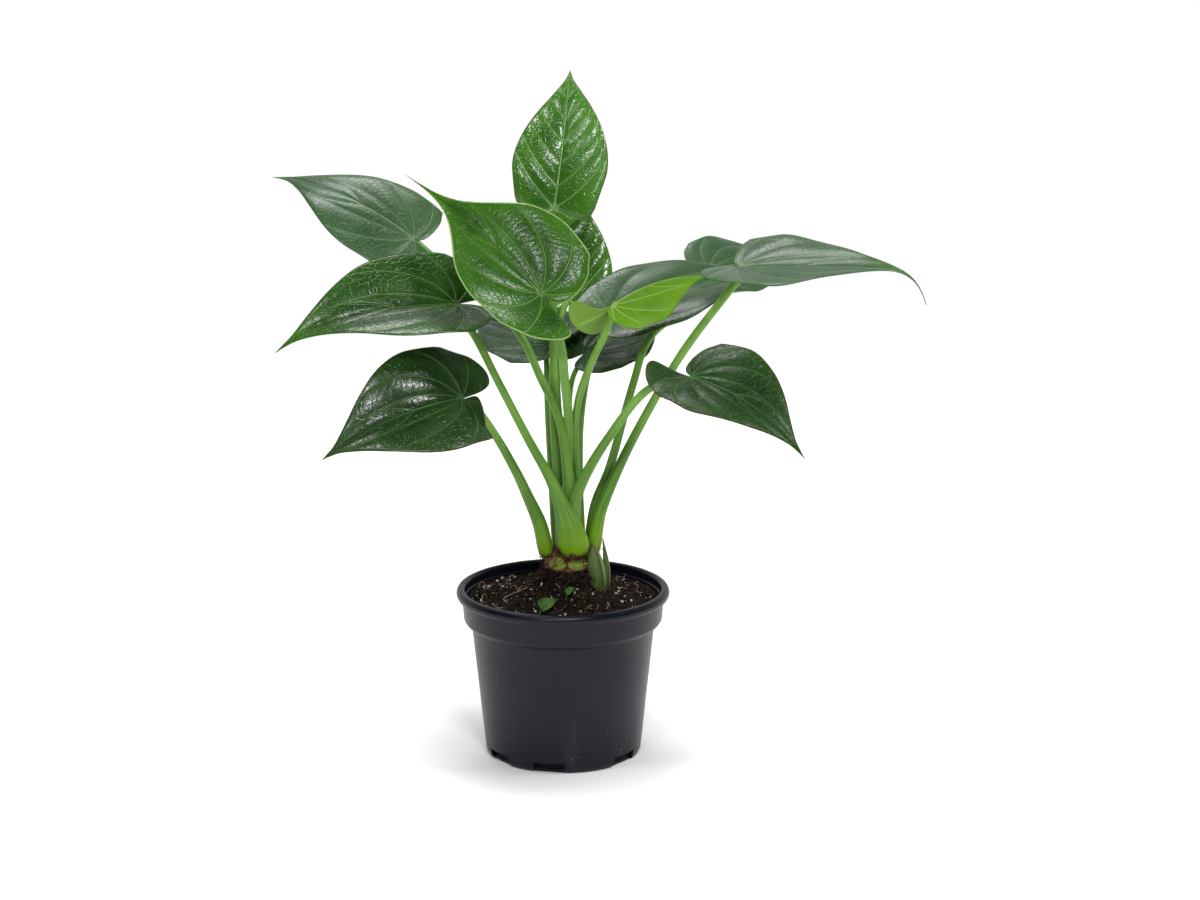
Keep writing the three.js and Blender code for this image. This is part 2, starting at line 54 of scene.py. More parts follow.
# Pot and soil, in mm and degrees, with the wall's rings as shares of its height
POT_SEGMENTS = 144
POT_HEIGHT = 136
RIM_RADIUS = 85
RIM_DEPTH = 7.5
BAND_TOP_RADIUS = 80.4
BAND_FOOT_RADIUS = 79.2
BAND_FOOT_HEIGHT = 111
BODY_TOP_RADIUS = 73
BODY_TOP_HEIGHT = 106
BODY_FOOT_RADIUS = 62.5
FOOT_ROUND = 5
MOUTH_RADIUS = 78.2
LEDGE_HEIGHT = 128.6
LEDGE_WIDTH = 1.2
POT_WALL = 1.8
POT_FLOOR = 2
WALL_STEPS = [0.05, 0.08, 0.12, 0.2, 0.35, 0.5, 0.65, 0.8]
CORNER_ROUND = 0.8
NOTCH_HEIGHT = 8.5
NOTCH_WIDTH = 25
NOTCH_ANGLES = [-55, -10, 52, 97, 142, 187, 240]
SHARP_CORNER = 35
SOIL_SEGMENTS = 216
SOIL_RINGS = 90
SOIL_EDGE_HEIGHT = 126.5
SOIL_MOUND = 7
HEAP_HEIGHT = 13
HEAP_RADIUS = 25

# Stem, in mm
STEM_CENTRE = (5, 4)
STEM_RADIUS = 20
STEM_SHOULDER = 158
STEM_TOP = 167
STEM_ROOT = 110
STEM_SEGMENTS = 96
STEM_RING_STEP = 1.2
STEM_PROFILE = [
    (0, STEM_ROOT), (12, STEM_ROOT), (STEM_RADIUS - 1, 126), (STEM_RADIUS, 138), (STEM_RADIUS + 1, 144),
    (STEM_RADIUS - 0.5, 146), (STEM_RADIUS + 0.5, 152), (STEM_RADIUS - 1, 154),
    (STEM_RADIUS - 0.5, STEM_SHOULDER), (STEM_RADIUS - 5, STEM_SHOULDER + 6), (7, STEM_TOP), (0, STEM_TOP),
]

# Leaf scars round the stem's shoulder, in mm
SCAR_COUNT = 6
SCAR_PHASE = 0.58
SCAR_HEIGHT = 158
SCAR_HALF_WIDTH = 8
SCAR_HALF_HEIGHT = 4

# Blades, in mm. The heart, from which the rings spread, is a share of the midrib
BLADE_THICK = 0.9
BLADE_SPOKES = 72
BLADE_RINGS = 30
BLADE_HEART = 0.03
EDGE_WAVES = 2.2
EDGE_THINNING = 0.45
QUILT_RISE = 4
QUILT_MARGIN = 6
HALF_OUTLINE = [
    (1, 0), (0.93, 0.03), (0.84, 0.1), (0.71, 0.3), (0.56, 0.58), (0.4, 0.84), (0.24, 0.99),
    (0.09, 0.97), (-0.3, 0.84), (-0.72, 0.68), (-0.96, 0.42), (-0.94, 0.19), (-0.7, 0.08), (-0.35, 0.03),
    (-0.07, 0),
]

# Veins: the angle at which the first one leaves the midrib's foot, the step to the next, how much they
# close in towards the tip, and the later ones as a share of the midrib and an angle
FAN_VEINS = dict(first=0.46, step=0.66, closing=1.5, late=[(0.34, 0.6)])
FEATHER_VEINS = dict(
    first=0.95, step=0.95, closing=0.45,
    late=[(0.14, 0.92), (0.29, 0.9), (0.44, 0.86), (0.6, 0.8), (0.76, 0.7)],
)

# Painted veins: the half width at the foot and its loss with distance, where 1 is 100 mm
MIDRIB_WIDTH = (0.0115, 0.006)
VEIN_WIDTH = (0.0068, 0.0035)
LATE_VEIN_WIDTH = (0.0052, 0.003)
THINNEST_VEIN = 0.0018

# Relief of a blade's skin: the share of each kind, and the depth in metres on its face and back
SKIN_RELIEF = dict(
    puff=0.24, lines=0.35, midrib=0.55, rungs=0.03, net=0.05, fine=0.02, cover=0.16, speck=0.06
)
FACE_DEPTH = 0.0019
BACK_DEPTH = 0.0014

# Petioles, in mm. They end at a share of the midrib and are trimmed to the blade's lower face
PETIOLE_SIDES = 20
PETIOLE_STEPS = 60
PETIOLE_SWELL = 0.15
PETIOLE_END = 0.045
BASE_ROUND = 12
TRIM_REACH = 14
TRIM_GAP = 0.1
STALK_CROWDING = 1.4
CURVE_STEPS = 40

# The leaves: their place, form, petiole and colours, in mm and degrees
PLAIN_LEAF = dict(
    arch=8, droop=1, sweep=0, fold=(8, 8), curl=10, lobe=(0, 0), reach=(0.15, 0.15), full=1, drip=0,
    taper=0, wave=1, base=(4.5, 4), sheath=50, faces=-90, stalk=2.6, under=0, margin=None, sheen=0, young=0,
    veins=FAN_VEINS, quilt=0.7, fresh=None, shine=0.26, rough=0.11,
)
DEEP = dict(dark=(0.006, 0.026, 0.004), light=(0.02, 0.062, 0.009), vein=(0.07, 0.17, 0.05))
GLOSSY = dict(dark=(0.006, 0.032, 0.003), light=(0.025, 0.095, 0.006), vein=(0.09, 0.22, 0.04), shine=0.38)
SHADED = dict(
    dark=(0.014, 0.05, 0.01), light=(0.03, 0.09, 0.02), vein=(0.1, 0.2, 0.08), shine=0.16, rough=0.2
)
GREY = dict(
    dark=(0.02, 0.062, 0.018), light=(0.045, 0.11, 0.036), vein=(0.15, 0.25, 0.12), sheen=0.18, rough=0.2
)
MID = dict(
    dark=(0.02, 0.09, 0.005), light=(0.06, 0.2, 0.011), vein=(0.25, 0.45, 0.13), shine=0.65, rough=0.09
)
BRIGHT = dict(dark=(0.008, 0.042, 0.002), light=(0.042, 0.145, 0.007), vein=(0.13, 0.27, 0.06), shine=0.19)
YOUNG = dict(
    dark=(0.05, 0.15, 0.003), light=(0.115, 0.26, 0.009), vein=(0.27, 0.42, 0.08), young=1, shine=0.1,
    rough=0.24,
)
PALE_MARGIN = (0.3, 0.45, 0.14)
RED_MARGIN = (0.07, 0.05, 0.015)
DUST_DOT = (0.7, 0.75, 0.68)
BACK_GLOSS = 0.2
BACK_ROUGHER = 0.35

LEAVES = {
    "young": dict(
        YOUNG, at=(39, -30, 370), tip=(122, 47, 378), width=66, roll=10, fold=(-38, -40), lobe=(22, 0),
        reach=(0.25, 0.1), stalk=2.8, faces=-60,
        path=[(11, 0, 161), (11, -2, 215), (10, -5, 262), (13, -9, 292), (22, -17, 320), (32, -25, 344)],
    ),
    "front": dict(
        BRIGHT, at=(-16, -45, 382), tip=(-121, 5, 466), width=106, roll=41, arch=4, sweep=3, fold=(24, 14),
        lobe=(12, 0), reach=(0.33, 0.13), full=0.94, drip=0.65, base=(5.5, 4.5), faces=-100, stalk=3.3,
        margin=PALE_MARGIN, quilt=0.8, fresh=(0.085, 0.26, 0.015),
        path=[(3, -2, 161), (4, -5, 225), (5, -10, 270), (2, -22, 310), (-2, -38, 346)],
    ),
    "top": dict(
        MID, at=(-6, 29, 436), tip=(6, 80, 538), width=80, roll=0, arch=12, sweep=4, reach=(0.12, 0.12),
        full=1.28, taper=0.4, faces=-100, stalk=3, under=2.8, margin=RED_MARGIN, veins=FEATHER_VEINS,
        quilt=1.4,
        path=[(-1, 5, 161), (-4, 4, 225), (-7, 6, 272), (-7, 14, 330), (-7, 28, 392)],
    ),
    "right_inner": dict(
        GREY, at=(42, 34, 349), tip=(160, 109, 369), width=88, roll=-20, fold=(10, 12), reach=(0.2, 0.15),
        full=1.35, faces=30, stalk=2.4,
        path=[(14, 9, 160), (13, 9, 225), (15, 9, 277), (24, 16, 318)],
    ),
    "back_upright": dict(
        MID, at=(4, 80, 353), tip=(3, 135, 455), width=71, roll=0, faces=90, stalk=2.5,
        veins=FEATHER_VEINS, quilt=1.5,
        path=[(5, 13, 160), (1, 20, 225), (-4, 28, 280), (-5, 42, 316), (-2, 60, 340)],
    ),
    "back_left": dict(
        SHADED, at=(-11, 60, 320), tip=(-79, 138, 326), width=90, roll=14, arch=6, reach=(0.15, 0.06),
        faces=120, stalk=2.2,
        path=[(-4, 12, 159), (-9, 14, 225), (-12, 24, 275), (-13, 42, 303)],
    ),
    "back_right": dict(
        SHADED, at=(18, 60, 314), tip=(84, 139, 325), width=84, roll=-14, arch=6, reach=(0.2, 0.22),
        faces=70, stalk=2,
        path=[(12, 16, 159), (9, 17, 225), (5, 22, 270), (8, 40, 298)],
    ),
    "right_back": dict(
        GREY, at=(121, 144, 366), tip=(195, 204, 351), width=76, roll=-28, base=(6.5, 5), faces=20,
        stalk=2.8, under=1,
        path=[(21, 9, 160), (26, 13, 199), (38, 21, 231), (56, 35, 294), (69, 49, 328), (99, 91, 345)],
    ),
    "left_upper": dict(
        GREY, at=(-118, 40, 410), tip=(-236, 116, 447), width=88, roll=30, arch=15, fold=(7, -5),
        reach=(0.24, 0.05), base=(9, 5), faces=-110, stalk=2.8,
        path=[
            (8, -7, 162), (5, -13, 225), (-2, -9, 274), (-17, 4, 305), (-33, 18, 336), (-60, 30, 364),
            (-92, 42, 386),
        ],
    ),
    "right_long": dict(
        GREY, at=(140, 20, 391), tip=(283, -8, 366), width=92, roll=-15, arch=24, droop=10, fold=(12, 12),
        reach=(0.05, 0.19), full=0.88, drip=0, wave=1.5, base=(7, 6), faces=-20, stalk=3,
        fresh=(0.12, 0.3, 0.03),
        path=[(24, 3, 162), (27, 6, 186), (33, 10, 205), (57, 15, 256), (93, 18, 320), (131, 19, 372)],
    ),
    "right_lower": dict(
        DEEP, at=(100, -65, 321), tip=(183, -123, 271), width=86, roll=-27, arch=11, sweep=-3,
        fold=(10, 19), lobe=(0, 15), reach=(0.1, 0.31), full=1.06, base=(7.5, 6), faces=-60, stalk=3,
        margin=RED_MARGIN, shine=0.16, rough=0.18,
        path=[(9, -9, 162), (8, -14, 194), (13, -18, 221), (35, -28, 263), (67, -44, 307)],
    ),
    "left_lower": dict(
        DEEP, at=(-77, -60, 303), tip=(-180, -110, 267), width=96, roll=45, arch=16, fold=(15, 15),
        lobe=(16, 2), reach=(0.1, 0.27), full=1.16, base=(7.5, 6), faces=-150, stalk=2.9,
        margin=RED_MARGIN, shine=0.42, rough=0.13,
        path=[
            (-13, -1, 161), (-18, -5, 188), (-28, -10, 214), (-37, -14, 235), (-51, -28, 265),
            (-66, -48, 292),
        ],
    ),
    "left_long": dict(
        GLOSSY, at=(-82, -25, 370), tip=(-218, -60, 339), width=100, roll=26, arch=16, droop=2,
        fold=(15, 25), reach=(0.15, 0.2), full=1.12, base=(12.5, 7), sheath=38, faces=-95, stalk=2.8,
        fresh=(0.085, 0.27, 0.012),
        path=[
            (9, -14, 165), (8, -17, 179), (2, -21, 201), (-9, -24, 230), (-26, -25, 262), (-50, -26, 310),
            (-69, -26, 348),
        ],
    ),
}
LEAVES = {name: {**PLAIN_LEAF, **leaf} for name, leaf in LEAVES.items()}

# Two seedlings in front of the stem
SMALL_LEAF = dict(arch=1, wave=0, reach=(0.05, 0.05), full=1.3)
SEEDLINGS = {
    "left": dict(at=(-17, -50, 134), tip=(-3, -46, 139), width=11, roll=-40, foot=(-19, -51, 122)),
    "right": dict(at=(3, -27, 138.5), tip=(10, -26, 142.5), width=6.5, roll=-35, foot=(2, -28, 126)),
}
SEEDLINGS = {name: {**PLAIN_LEAF, **SMALL_LEAF, **leaf} for name, leaf in SEEDLINGS.items()}
SEEDLING_STALK = 0.7

# The young shoots at the stem's right side: a path and the radii along it, in mm
SHOOTS = {
    "offset_shoot": dict(
        path=[(27, -4, 112), (27, -5, 137), (25.5, -6, 156), (23, -8, 174)],
        radii=[5, 6.8, 7.6, 7.9, 7.9, 7.2, 5.0, 0.4],
    ),
    "offset_bract": dict(
        path=[(33.5, 3, 114), (34.5, 2, 140), (34.3, 1, 156), (31.7, 0, 176)],
        radii=[3, 3.4, 3.7, 3.5, 3.1, 2.3, 1.3, 0.3],
    ),
}

# A pale twig on the soil
TWIG_PATH = [(-44, -22, 128.6), (-46.5, -14, 130.2), (-37, -4, 132.4), (-28, 6, 133.5)]
TWIG_RADIUS = 0.5

# Patches of surface on which small pieces are grown
PATCH_SPOKES = 48
PATCH_LIFT = 0.4
FEET_RISE = 4.5

# Brightness of the white room round the plant
WORLD_FRONT = 0.08
WORLD_BACK = 0.25
WORLD_LOW = 0.55

# The floor, in mm: its white, and its painted glow, which rises in two steps away from the pot and leaves a
# painted shadow at the pot's foot
FLOOR_CORNERS = [(-1700, -2000, 0), (1700, -2000, 0), (1700, 1500, 0), (-1700, 1500, 0)]
FLOOR_WHITE = (0.8, 0.8, 0.8)
FLOOR_GLOW = 0.7
GLOW_NEAR = 0.68
GLOW_FAR = 0.3

# Soft lights: the place and what they face in metres, width and height in metres, and watts
LIGHTS = {
    "front light": ((0.26, -1.82, 2.14), (0, 0, 0.3), 0.45, 0.35, 26),
    "right light": ((1.22, -0.33, 2.1), (0, 0, 0.3), 0.5, 0.45, 24),
    "low front light": ((-0.58, -1.97, 1.39), (0, 0.05, 0.45), 0.25, 0.3, 8),
    "left light": ((-1.06, -0.69, 2.1), (0, 0, 0.3), 0.5, 0.4, 12),
    "back light": ((-0.28, 1.1, 2.3), (0, 0, 0.3), 1.0, 0.5, 18),
}

# Camera
EYE = (0.0295, -2.298, 0.8137)
LOOKS_DOWN = 13.83
LENS = 90
SENSOR_WIDTH = 36


class Num:
    """A number in a node tree that can be added, multiplied and compared to build the node maths."""

    def __init__(self, tree, socket):
        self.tree = tree
        self.socket = socket

    def maths(self, operation, *others):
        node = self.tree.nodes.new("ShaderNodeMath")
        node.operation = operation
        for place, value in zip(node.inputs, (self, *others)):
            if isinstance(value, Num):
                self.tree.links.new(value.socket, place)
            else:
                place.default_value = value
        return Num(self.tree, node.outputs[0])

    def plain(self, value):
        node = self.tree.nodes.new("ShaderNodeValue")
        node.outputs[0].default_value = value
        return Num(self.tree, node.outputs[0])

    def __add__(self, other):
        return self.maths("ADD", other)

    def __sub__(self, other):
        return self.maths("SUBTRACT", other)

    def __mul__(self, other):
        return self.maths("MULTIPLY", other)

    def __truediv__(self, other):
        return self.maths("DIVIDE", other)

    def __pow__(self, other):
        return self.maths("POWER", other)

    def __radd__(self, other):
        return self + other

    def __rmul__(self, other):
        return self * other

    def __rsub__(self, other):
        return self * -1 + other

    def __rtruediv__(self, other):
        return self.plain(other) / self

    def __abs__(self):
        return self.maths("ABSOLUTE")

    def least(self, other):
        return self.maths("MINIMUM", other)

    def most(self, other):
        return self.maths("MAXIMUM", other)

    def fade(self, start, end):
        """0 at start and 1 at end, smooth between."""
        node = self.tree.nodes.new("ShaderNodeMapRange")
        node.interpolation_type = "SMOOTHSTEP"
        self.tree.links.new(self.socket, node.inputs["Value"])
        node.inputs["From Min"].default_value = start
        node.inputs["From Max"].default_value = end
        return Num(self.tree, node.outputs[0])


class Nodes:
    """A node tree whose nodes are made with their settings and inputs in one call."""

    def node(self, kind, settings=None, inputs=None):
        node = self.tree.nodes.new(kind)
        for key, value in (settings or {}).items():
            setattr(node, key, value)
        for key, value in (inputs or {}).items():
            if isinstance(value, Num):
                value = value.socket
            if isinstance(value, bpy.types.NodeSocket):
                self.tree.links.new(value, node.inputs[key])
            else:
                node.inputs[key].default_value = value
        return node


class Finish(Nodes):
    """A material with its principled surface ready."""

    def __init__(self, name, roughness=0.5, coat=0.0, specular=0.5):
        self.material = bpy.data.materials.new(name)
        self.material.use_nodes = True
        self.tree = self.material.node_tree
        self.surface = self.tree.nodes["Principled BSDF"]
        self.surface.inputs["Roughness"].default_value = roughness
        self.surface.inputs["Coat Weight"].default_value = coat
        self.surface.inputs["Specular IOR Level"].default_value = specular

    def place(self):
        return self.node("ShaderNodeTexCoord").outputs["Object"]

    def place_parts(self):
        """The three numbers of a place on the object, in metres."""
        parts = self.node("ShaderNodeSeparateXYZ", inputs={"Vector": self.place()})
        return [Num(self.tree, parts.outputs[k]) for k in "XYZ"]

    def map(self, name):
        """The two numbers of a UV map."""
        uv = self.node("ShaderNodeUVMap", {"uv_map": name})
        parts = self.node("ShaderNodeSeparateXYZ", inputs={"Vector": uv.outputs[0]})
        return Num(self.tree, parts.outputs["X"]), Num(self.tree, parts.outputs["Y"])

    def height(self):
        return self.place_parts()[2]

    def noise(self, scale, detail=3.0, rough=0.5, stretch=None):
        vector = self.place()
        if stretch:
            vector = self.node("ShaderNodeMapping", inputs={"Vector": vector, "Scale": stretch}).outputs[0]
        node = self.node(
            "ShaderNodeTexNoise",
            inputs={"Vector": vector, "Scale": scale, "Detail": detail, "Roughness": rough},
        )
        return Num(self.tree, node.outputs[0])

    def streaks(self, around, way):
        """Streaks drawn out along a stalk, from how often they change round it and along it."""
        vector = self.node("ShaderNodeCombineXYZ", inputs={"X": around, "Y": way, "Z": 0.0}).outputs[0]
        node = self.node("ShaderNodeTexNoise", inputs={"Vector": vector, "Scale": 1.0, "Detail": 4.0})
        return Num(self.tree, node.outputs[0])

    def cells(self, scale, feature="F1"):
        node = self.node(
            "ShaderNodeTexVoronoi", {"feature": feature}, {"Vector": self.place(), "Scale": scale}
        )
        return Num(self.tree, node.outputs["Distance"])

    def blend(self, first, second, amount):
        node = self.node("ShaderNodeMix", {"data_type": "RGBA"})
        self.colour_into(node.inputs[6], first)
        self.colour_into(node.inputs[7], second)
        if isinstance(amount, Num):
            self.tree.links.new(amount.socket, node.inputs[0])
        else:
            node.inputs[0].default_value = amount
        return node.outputs[2]

    def colour_into(self, place, value):
        if isinstance(value, bpy.types.NodeSocket):
            self.tree.links.new(value, place)
        else:
            place.default_value = (*value, 1)

    def paint(self, colour, *layers):
        """The base colour, from the lowest one and layers of (colour, share) over it."""
        for over, share in layers:
            colour = self.blend(colour, over, share)
        self.colour_into(self.surface.inputs["Base Color"], colour)

    def dull(self, roughness):
        self.tree.links.new(roughness.socket, self.surface.inputs["Roughness"])

    def relief(self, height, depth):
        bump = self.node("ShaderNodeBump", inputs={"Height": height, "Distance": depth, "Strength": 1.0})
        self.tree.links.new(bump.outputs[0], self.surface.inputs["Normal"])
        return self.material


def smooth_object(name, points, faces, materials, slots=None, maps=None, smooth=True):
    """An object at the origin from points in mm. maps holds two numbers a point for each UV map."""
    mesh = bpy.data.meshes.new(name)
    mesh.from_pydata((np.asarray(points, float) * MM).tolist(), [], faces)
    for material in materials:
        mesh.materials.append(material)
    if slots is not None:
        mesh.polygons.foreach_set("material_index", slots)
    corners = np.empty(len(mesh.loops), int)
    mesh.loops.foreach_get("vertex_index", corners)
    for key, values in (maps or {}).items():
        layer = mesh.uv_layers.new(name=key)
        layer.data.foreach_set("uv", np.asarray(values, float)[corners].ravel())
    mesh.polygons.foreach_set("use_smooth", [smooth] * len(mesh.polygons))
    mesh.update()
    mesh.validate()
    thing = bpy.data.objects.new(name.replace(" ", "_"), mesh)
    bpy.context.collection.objects.link(thing)
    return thing


def turned(vectors, axis, degrees):
    """Vectors turned about an axis by the right-hand rule."""
    return np.asarray(Matrix.Rotation(math.radians(degrees), 3, Vector(axis)) @ Vector(vectors))


def curve_point(p0, p1, p2, p3, t):
    """The place between p1 (t = 0) and p2 (t = 1) on a smooth curve through four points."""
    v0 = (p2 - p0) / 2
    v1 = (p3 - p1) / 2
    return (2 * p1 - 2 * p2 + v0 + v1) * t**3 + (-3 * p1 + 3 * p2 - 2 * v0 - v1) * t**2 + v0 * t + p1


def outline_point(share):
    """A point of the half outline at a share of its way, on a smooth curve through its points."""
    points = np.array(HALF_OUTLINE, float)
    last = len(points) - 1
    place = last * share
    i = min(int(place), last - 1)
    around = [points[min(max(k, 0), last)] for k in (i - 1, i, i + 1, i + 2)]
    return curve_point(*around, place - i)


def smooth_step(value, start, end):
    t = min(max((value - start) / (end - start), 0), 1)
    return t * t * (3 - 2 * t)


def blade_edge(leaf):
    """Share of the midrib, mm across and the hand (1 right, 0 left) for each point round the edge."""
    along, across, hands = [], [], []
    for i in range(2 * BLADE_SPOKES):
        share = i / BLADE_SPOKES
        hand = 1 if share < 1 else 0
        x, y = outline_point(share if hand else 2 - share)
        along.append(x * leaf["reach"][hand] if x < 0 else 1 - (1 - x) ** leaf["full"])
        drip = leaf["drip"] * smooth_step(along[-1], 0.35, 0.85)
        taper = leaf["taper"] * smooth_step(-x, -0.4, 0.6)
        across.append((1 if hand else -1) * y * (1 - drip - taper) * leaf["width"] / 2)
        hands.append(hand)
    return np.array(along), np.array(across), np.array(hands)


def unit(vectors):
    return vectors / np.linalg.norm(vectors, axis=-1, keepdims=True)


def midrib_length(leaf):
    return float(np.linalg.norm(np.array(leaf["tip"]) - np.array(leaf["at"])))


def blade_place(leaf, along, across, hand, lift):
    """Places on the curved blade, in mm, for points of its flat shape. All four are arrays."""
    at = np.array(leaf["at"], float)
    forward = np.array(leaf["tip"], float) - at
    length = np.linalg.norm(forward)
    forward = forward / length
    side = turned(unit(np.cross(forward, (0, 0, 1))), forward, -leaf["roll"])
    up = np.cross(side, forward)

    sign = np.where(hand == 1, 1, -1)
    reach = np.array(leaf["reach"])[hand]
    lobe = np.array(leaf["lobe"])[hand]
    power = leaf["droop"]
    ahead = np.maximum(along, 0)
    crown = (1 / (power + 1)) ** (1 / power)
    peak = crown * power / (power + 1)
    rise = (along - ahead ** (power + 1)) / peak
    slope = (1 - (power + 1) * ahead**power) / peak / length
    back = np.minimum(along, 0) / reach
    spine = (
        at
        + np.outer(along * length, forward)
        + np.outer(leaf["arch"] * rise + lobe * back**2, up)
        + np.outer(leaf["sweep"] * rise, side)
    )
    tangent = unit(
        forward
        + np.outer(leaf["arch"] * slope + lobe * 2 * back / reach / length, up)
        + np.outer(leaf["sweep"] * slope, side)
    )
    right = unit(np.cross(tangent, up))
    above = np.cross(right, tangent)

    out = np.abs(across)
    share = out / (leaf["width"] / 2)
    fold = np.radians(np.array(leaf["fold"]))[hand]
    curl = math.radians(leaf["curl"])
    chord_angle = fold - curl * share / 2
    face_angle = fold - curl * share
    ripple = leaf["wave"] * share**2 * np.sin(2 * math.pi * EDGE_WAVES * along + sign)
    outward = sign * out * np.cos(chord_angle) - sign * lift * np.sin(face_angle)
    upward = out * np.sin(chord_angle) + ripple + lift * np.cos(face_angle)
    return spine + right * outward[:, None] + above * upward[:, None]


def midrib_place(leaf, share, lift):
    """The place on the midrib at a share of its length, lifted by some mm off the blade's middle."""
    one = np.array([share])
    return blade_place(leaf, one, one * 0, np.array([1]), one * 0 + lift)[0]


def vein_gap(veins, length, x, y):
    """Distance in mm from points of a flat blade to its nearest vein."""
    y = np.abs(y)
    to_tip = np.hypot(length - x, y) + 0.01
    tip_angle = np.arctan2(y, length - x)
    nearest = y.copy()
    for share, angle in [(0, None), *veins["late"]]:
        ahead = x - share * length
        out = np.hypot(ahead, y) + 0.01
        turn = np.arctan2(y, ahead) + veins["closing"] * tip_angle
        scale = out * to_tip / (to_tip + veins["closing"] * out)
        if angle is None:
            number = np.maximum(np.round((turn - veins["first"]) / veins["step"]), 0)
            angle = veins["first"] + veins["step"] * number
        nearest = np.minimum(nearest, np.abs(turn - angle) * scale)
    return nearest


def blade_object(name, leaf, upper, lower):
    """The blade: a fine fan of rings round the petiole's top, quilted between its veins."""
    edge_along, edge_across, hands = blade_edge(leaf)
    count = len(edge_along)
    length = midrib_length(leaf)
    shares = np.arange(1, BLADE_RINGS + 1) / BLADE_RINGS
    spokes = BLADE_HEART + np.outer(shares, edge_along - BLADE_HEART)
    along = np.concatenate([[BLADE_HEART], spokes.ravel()])
    across = np.concatenate([[0], np.outer(shares, edge_across).ravel()])
    hand = np.concatenate([[1], np.tile(hands, BLADE_RINGS)])
    share = np.concatenate([[0], np.repeat(shares, count)])
    spread = np.hypot((edge_along - BLADE_HEART) * length, edge_across)
    rim = (1 - share) * np.concatenate([[spread.mean()], np.tile(spread, BLADE_RINGS)])

    gap = vein_gap(leaf["veins"], length, along * length, across)
    puff = leaf["quilt"] * gap / (gap + QUILT_RISE) * np.clip(rim / QUILT_MARGIN, 0, 1)
    thin = 1 - EDGE_THINNING * share**8
    top = blade_place(leaf, along, across, hand, puff + BLADE_THICK / 2 * thin)
    under = blade_place(leaf, along, across, hand, puff - BLADE_THICK / 2 * thin)
    points = np.concatenate([top, under])
    flat = np.stack([along * length / MAP_UNIT, across / MAP_UNIT], axis=1)
    border = np.stack([rim / MAP_UNIT, share], axis=1)
    maps = {"flat": np.concatenate([flat, flat]), "rim": np.concatenate([border, border])}

    faces = []
    slots = []
    below = len(top)
    for ring in range(BLADE_RINGS):
        for i in range(count):
            j = (i + 1) % count
            c = 1 + ring * count + i
            d = 1 + ring * count + j
            if ring == 0:
                face = (0, d, c)
            else:
                face = (c - count, d - count, d, c)
            faces += [face, tuple(below + k for k in reversed(face))]
            slots += [0, 1]
    outer = 1 + (BLADE_RINGS - 1) * count
    for i in range(count):
        c = outer + i
        d = outer + (i + 1) % count
        faces.append((c, d, below + d, below + c))
        slots.append(0)
    return smooth_object(name, points, faces, [upper, lower], slots, maps)


def back_colour(colour, vein):
    """A colour of a blade's face, made paler and duller for its back."""
    return tuple(0.72 * a + 0.28 * b + 0.01 for a, b in zip(colour, vein))


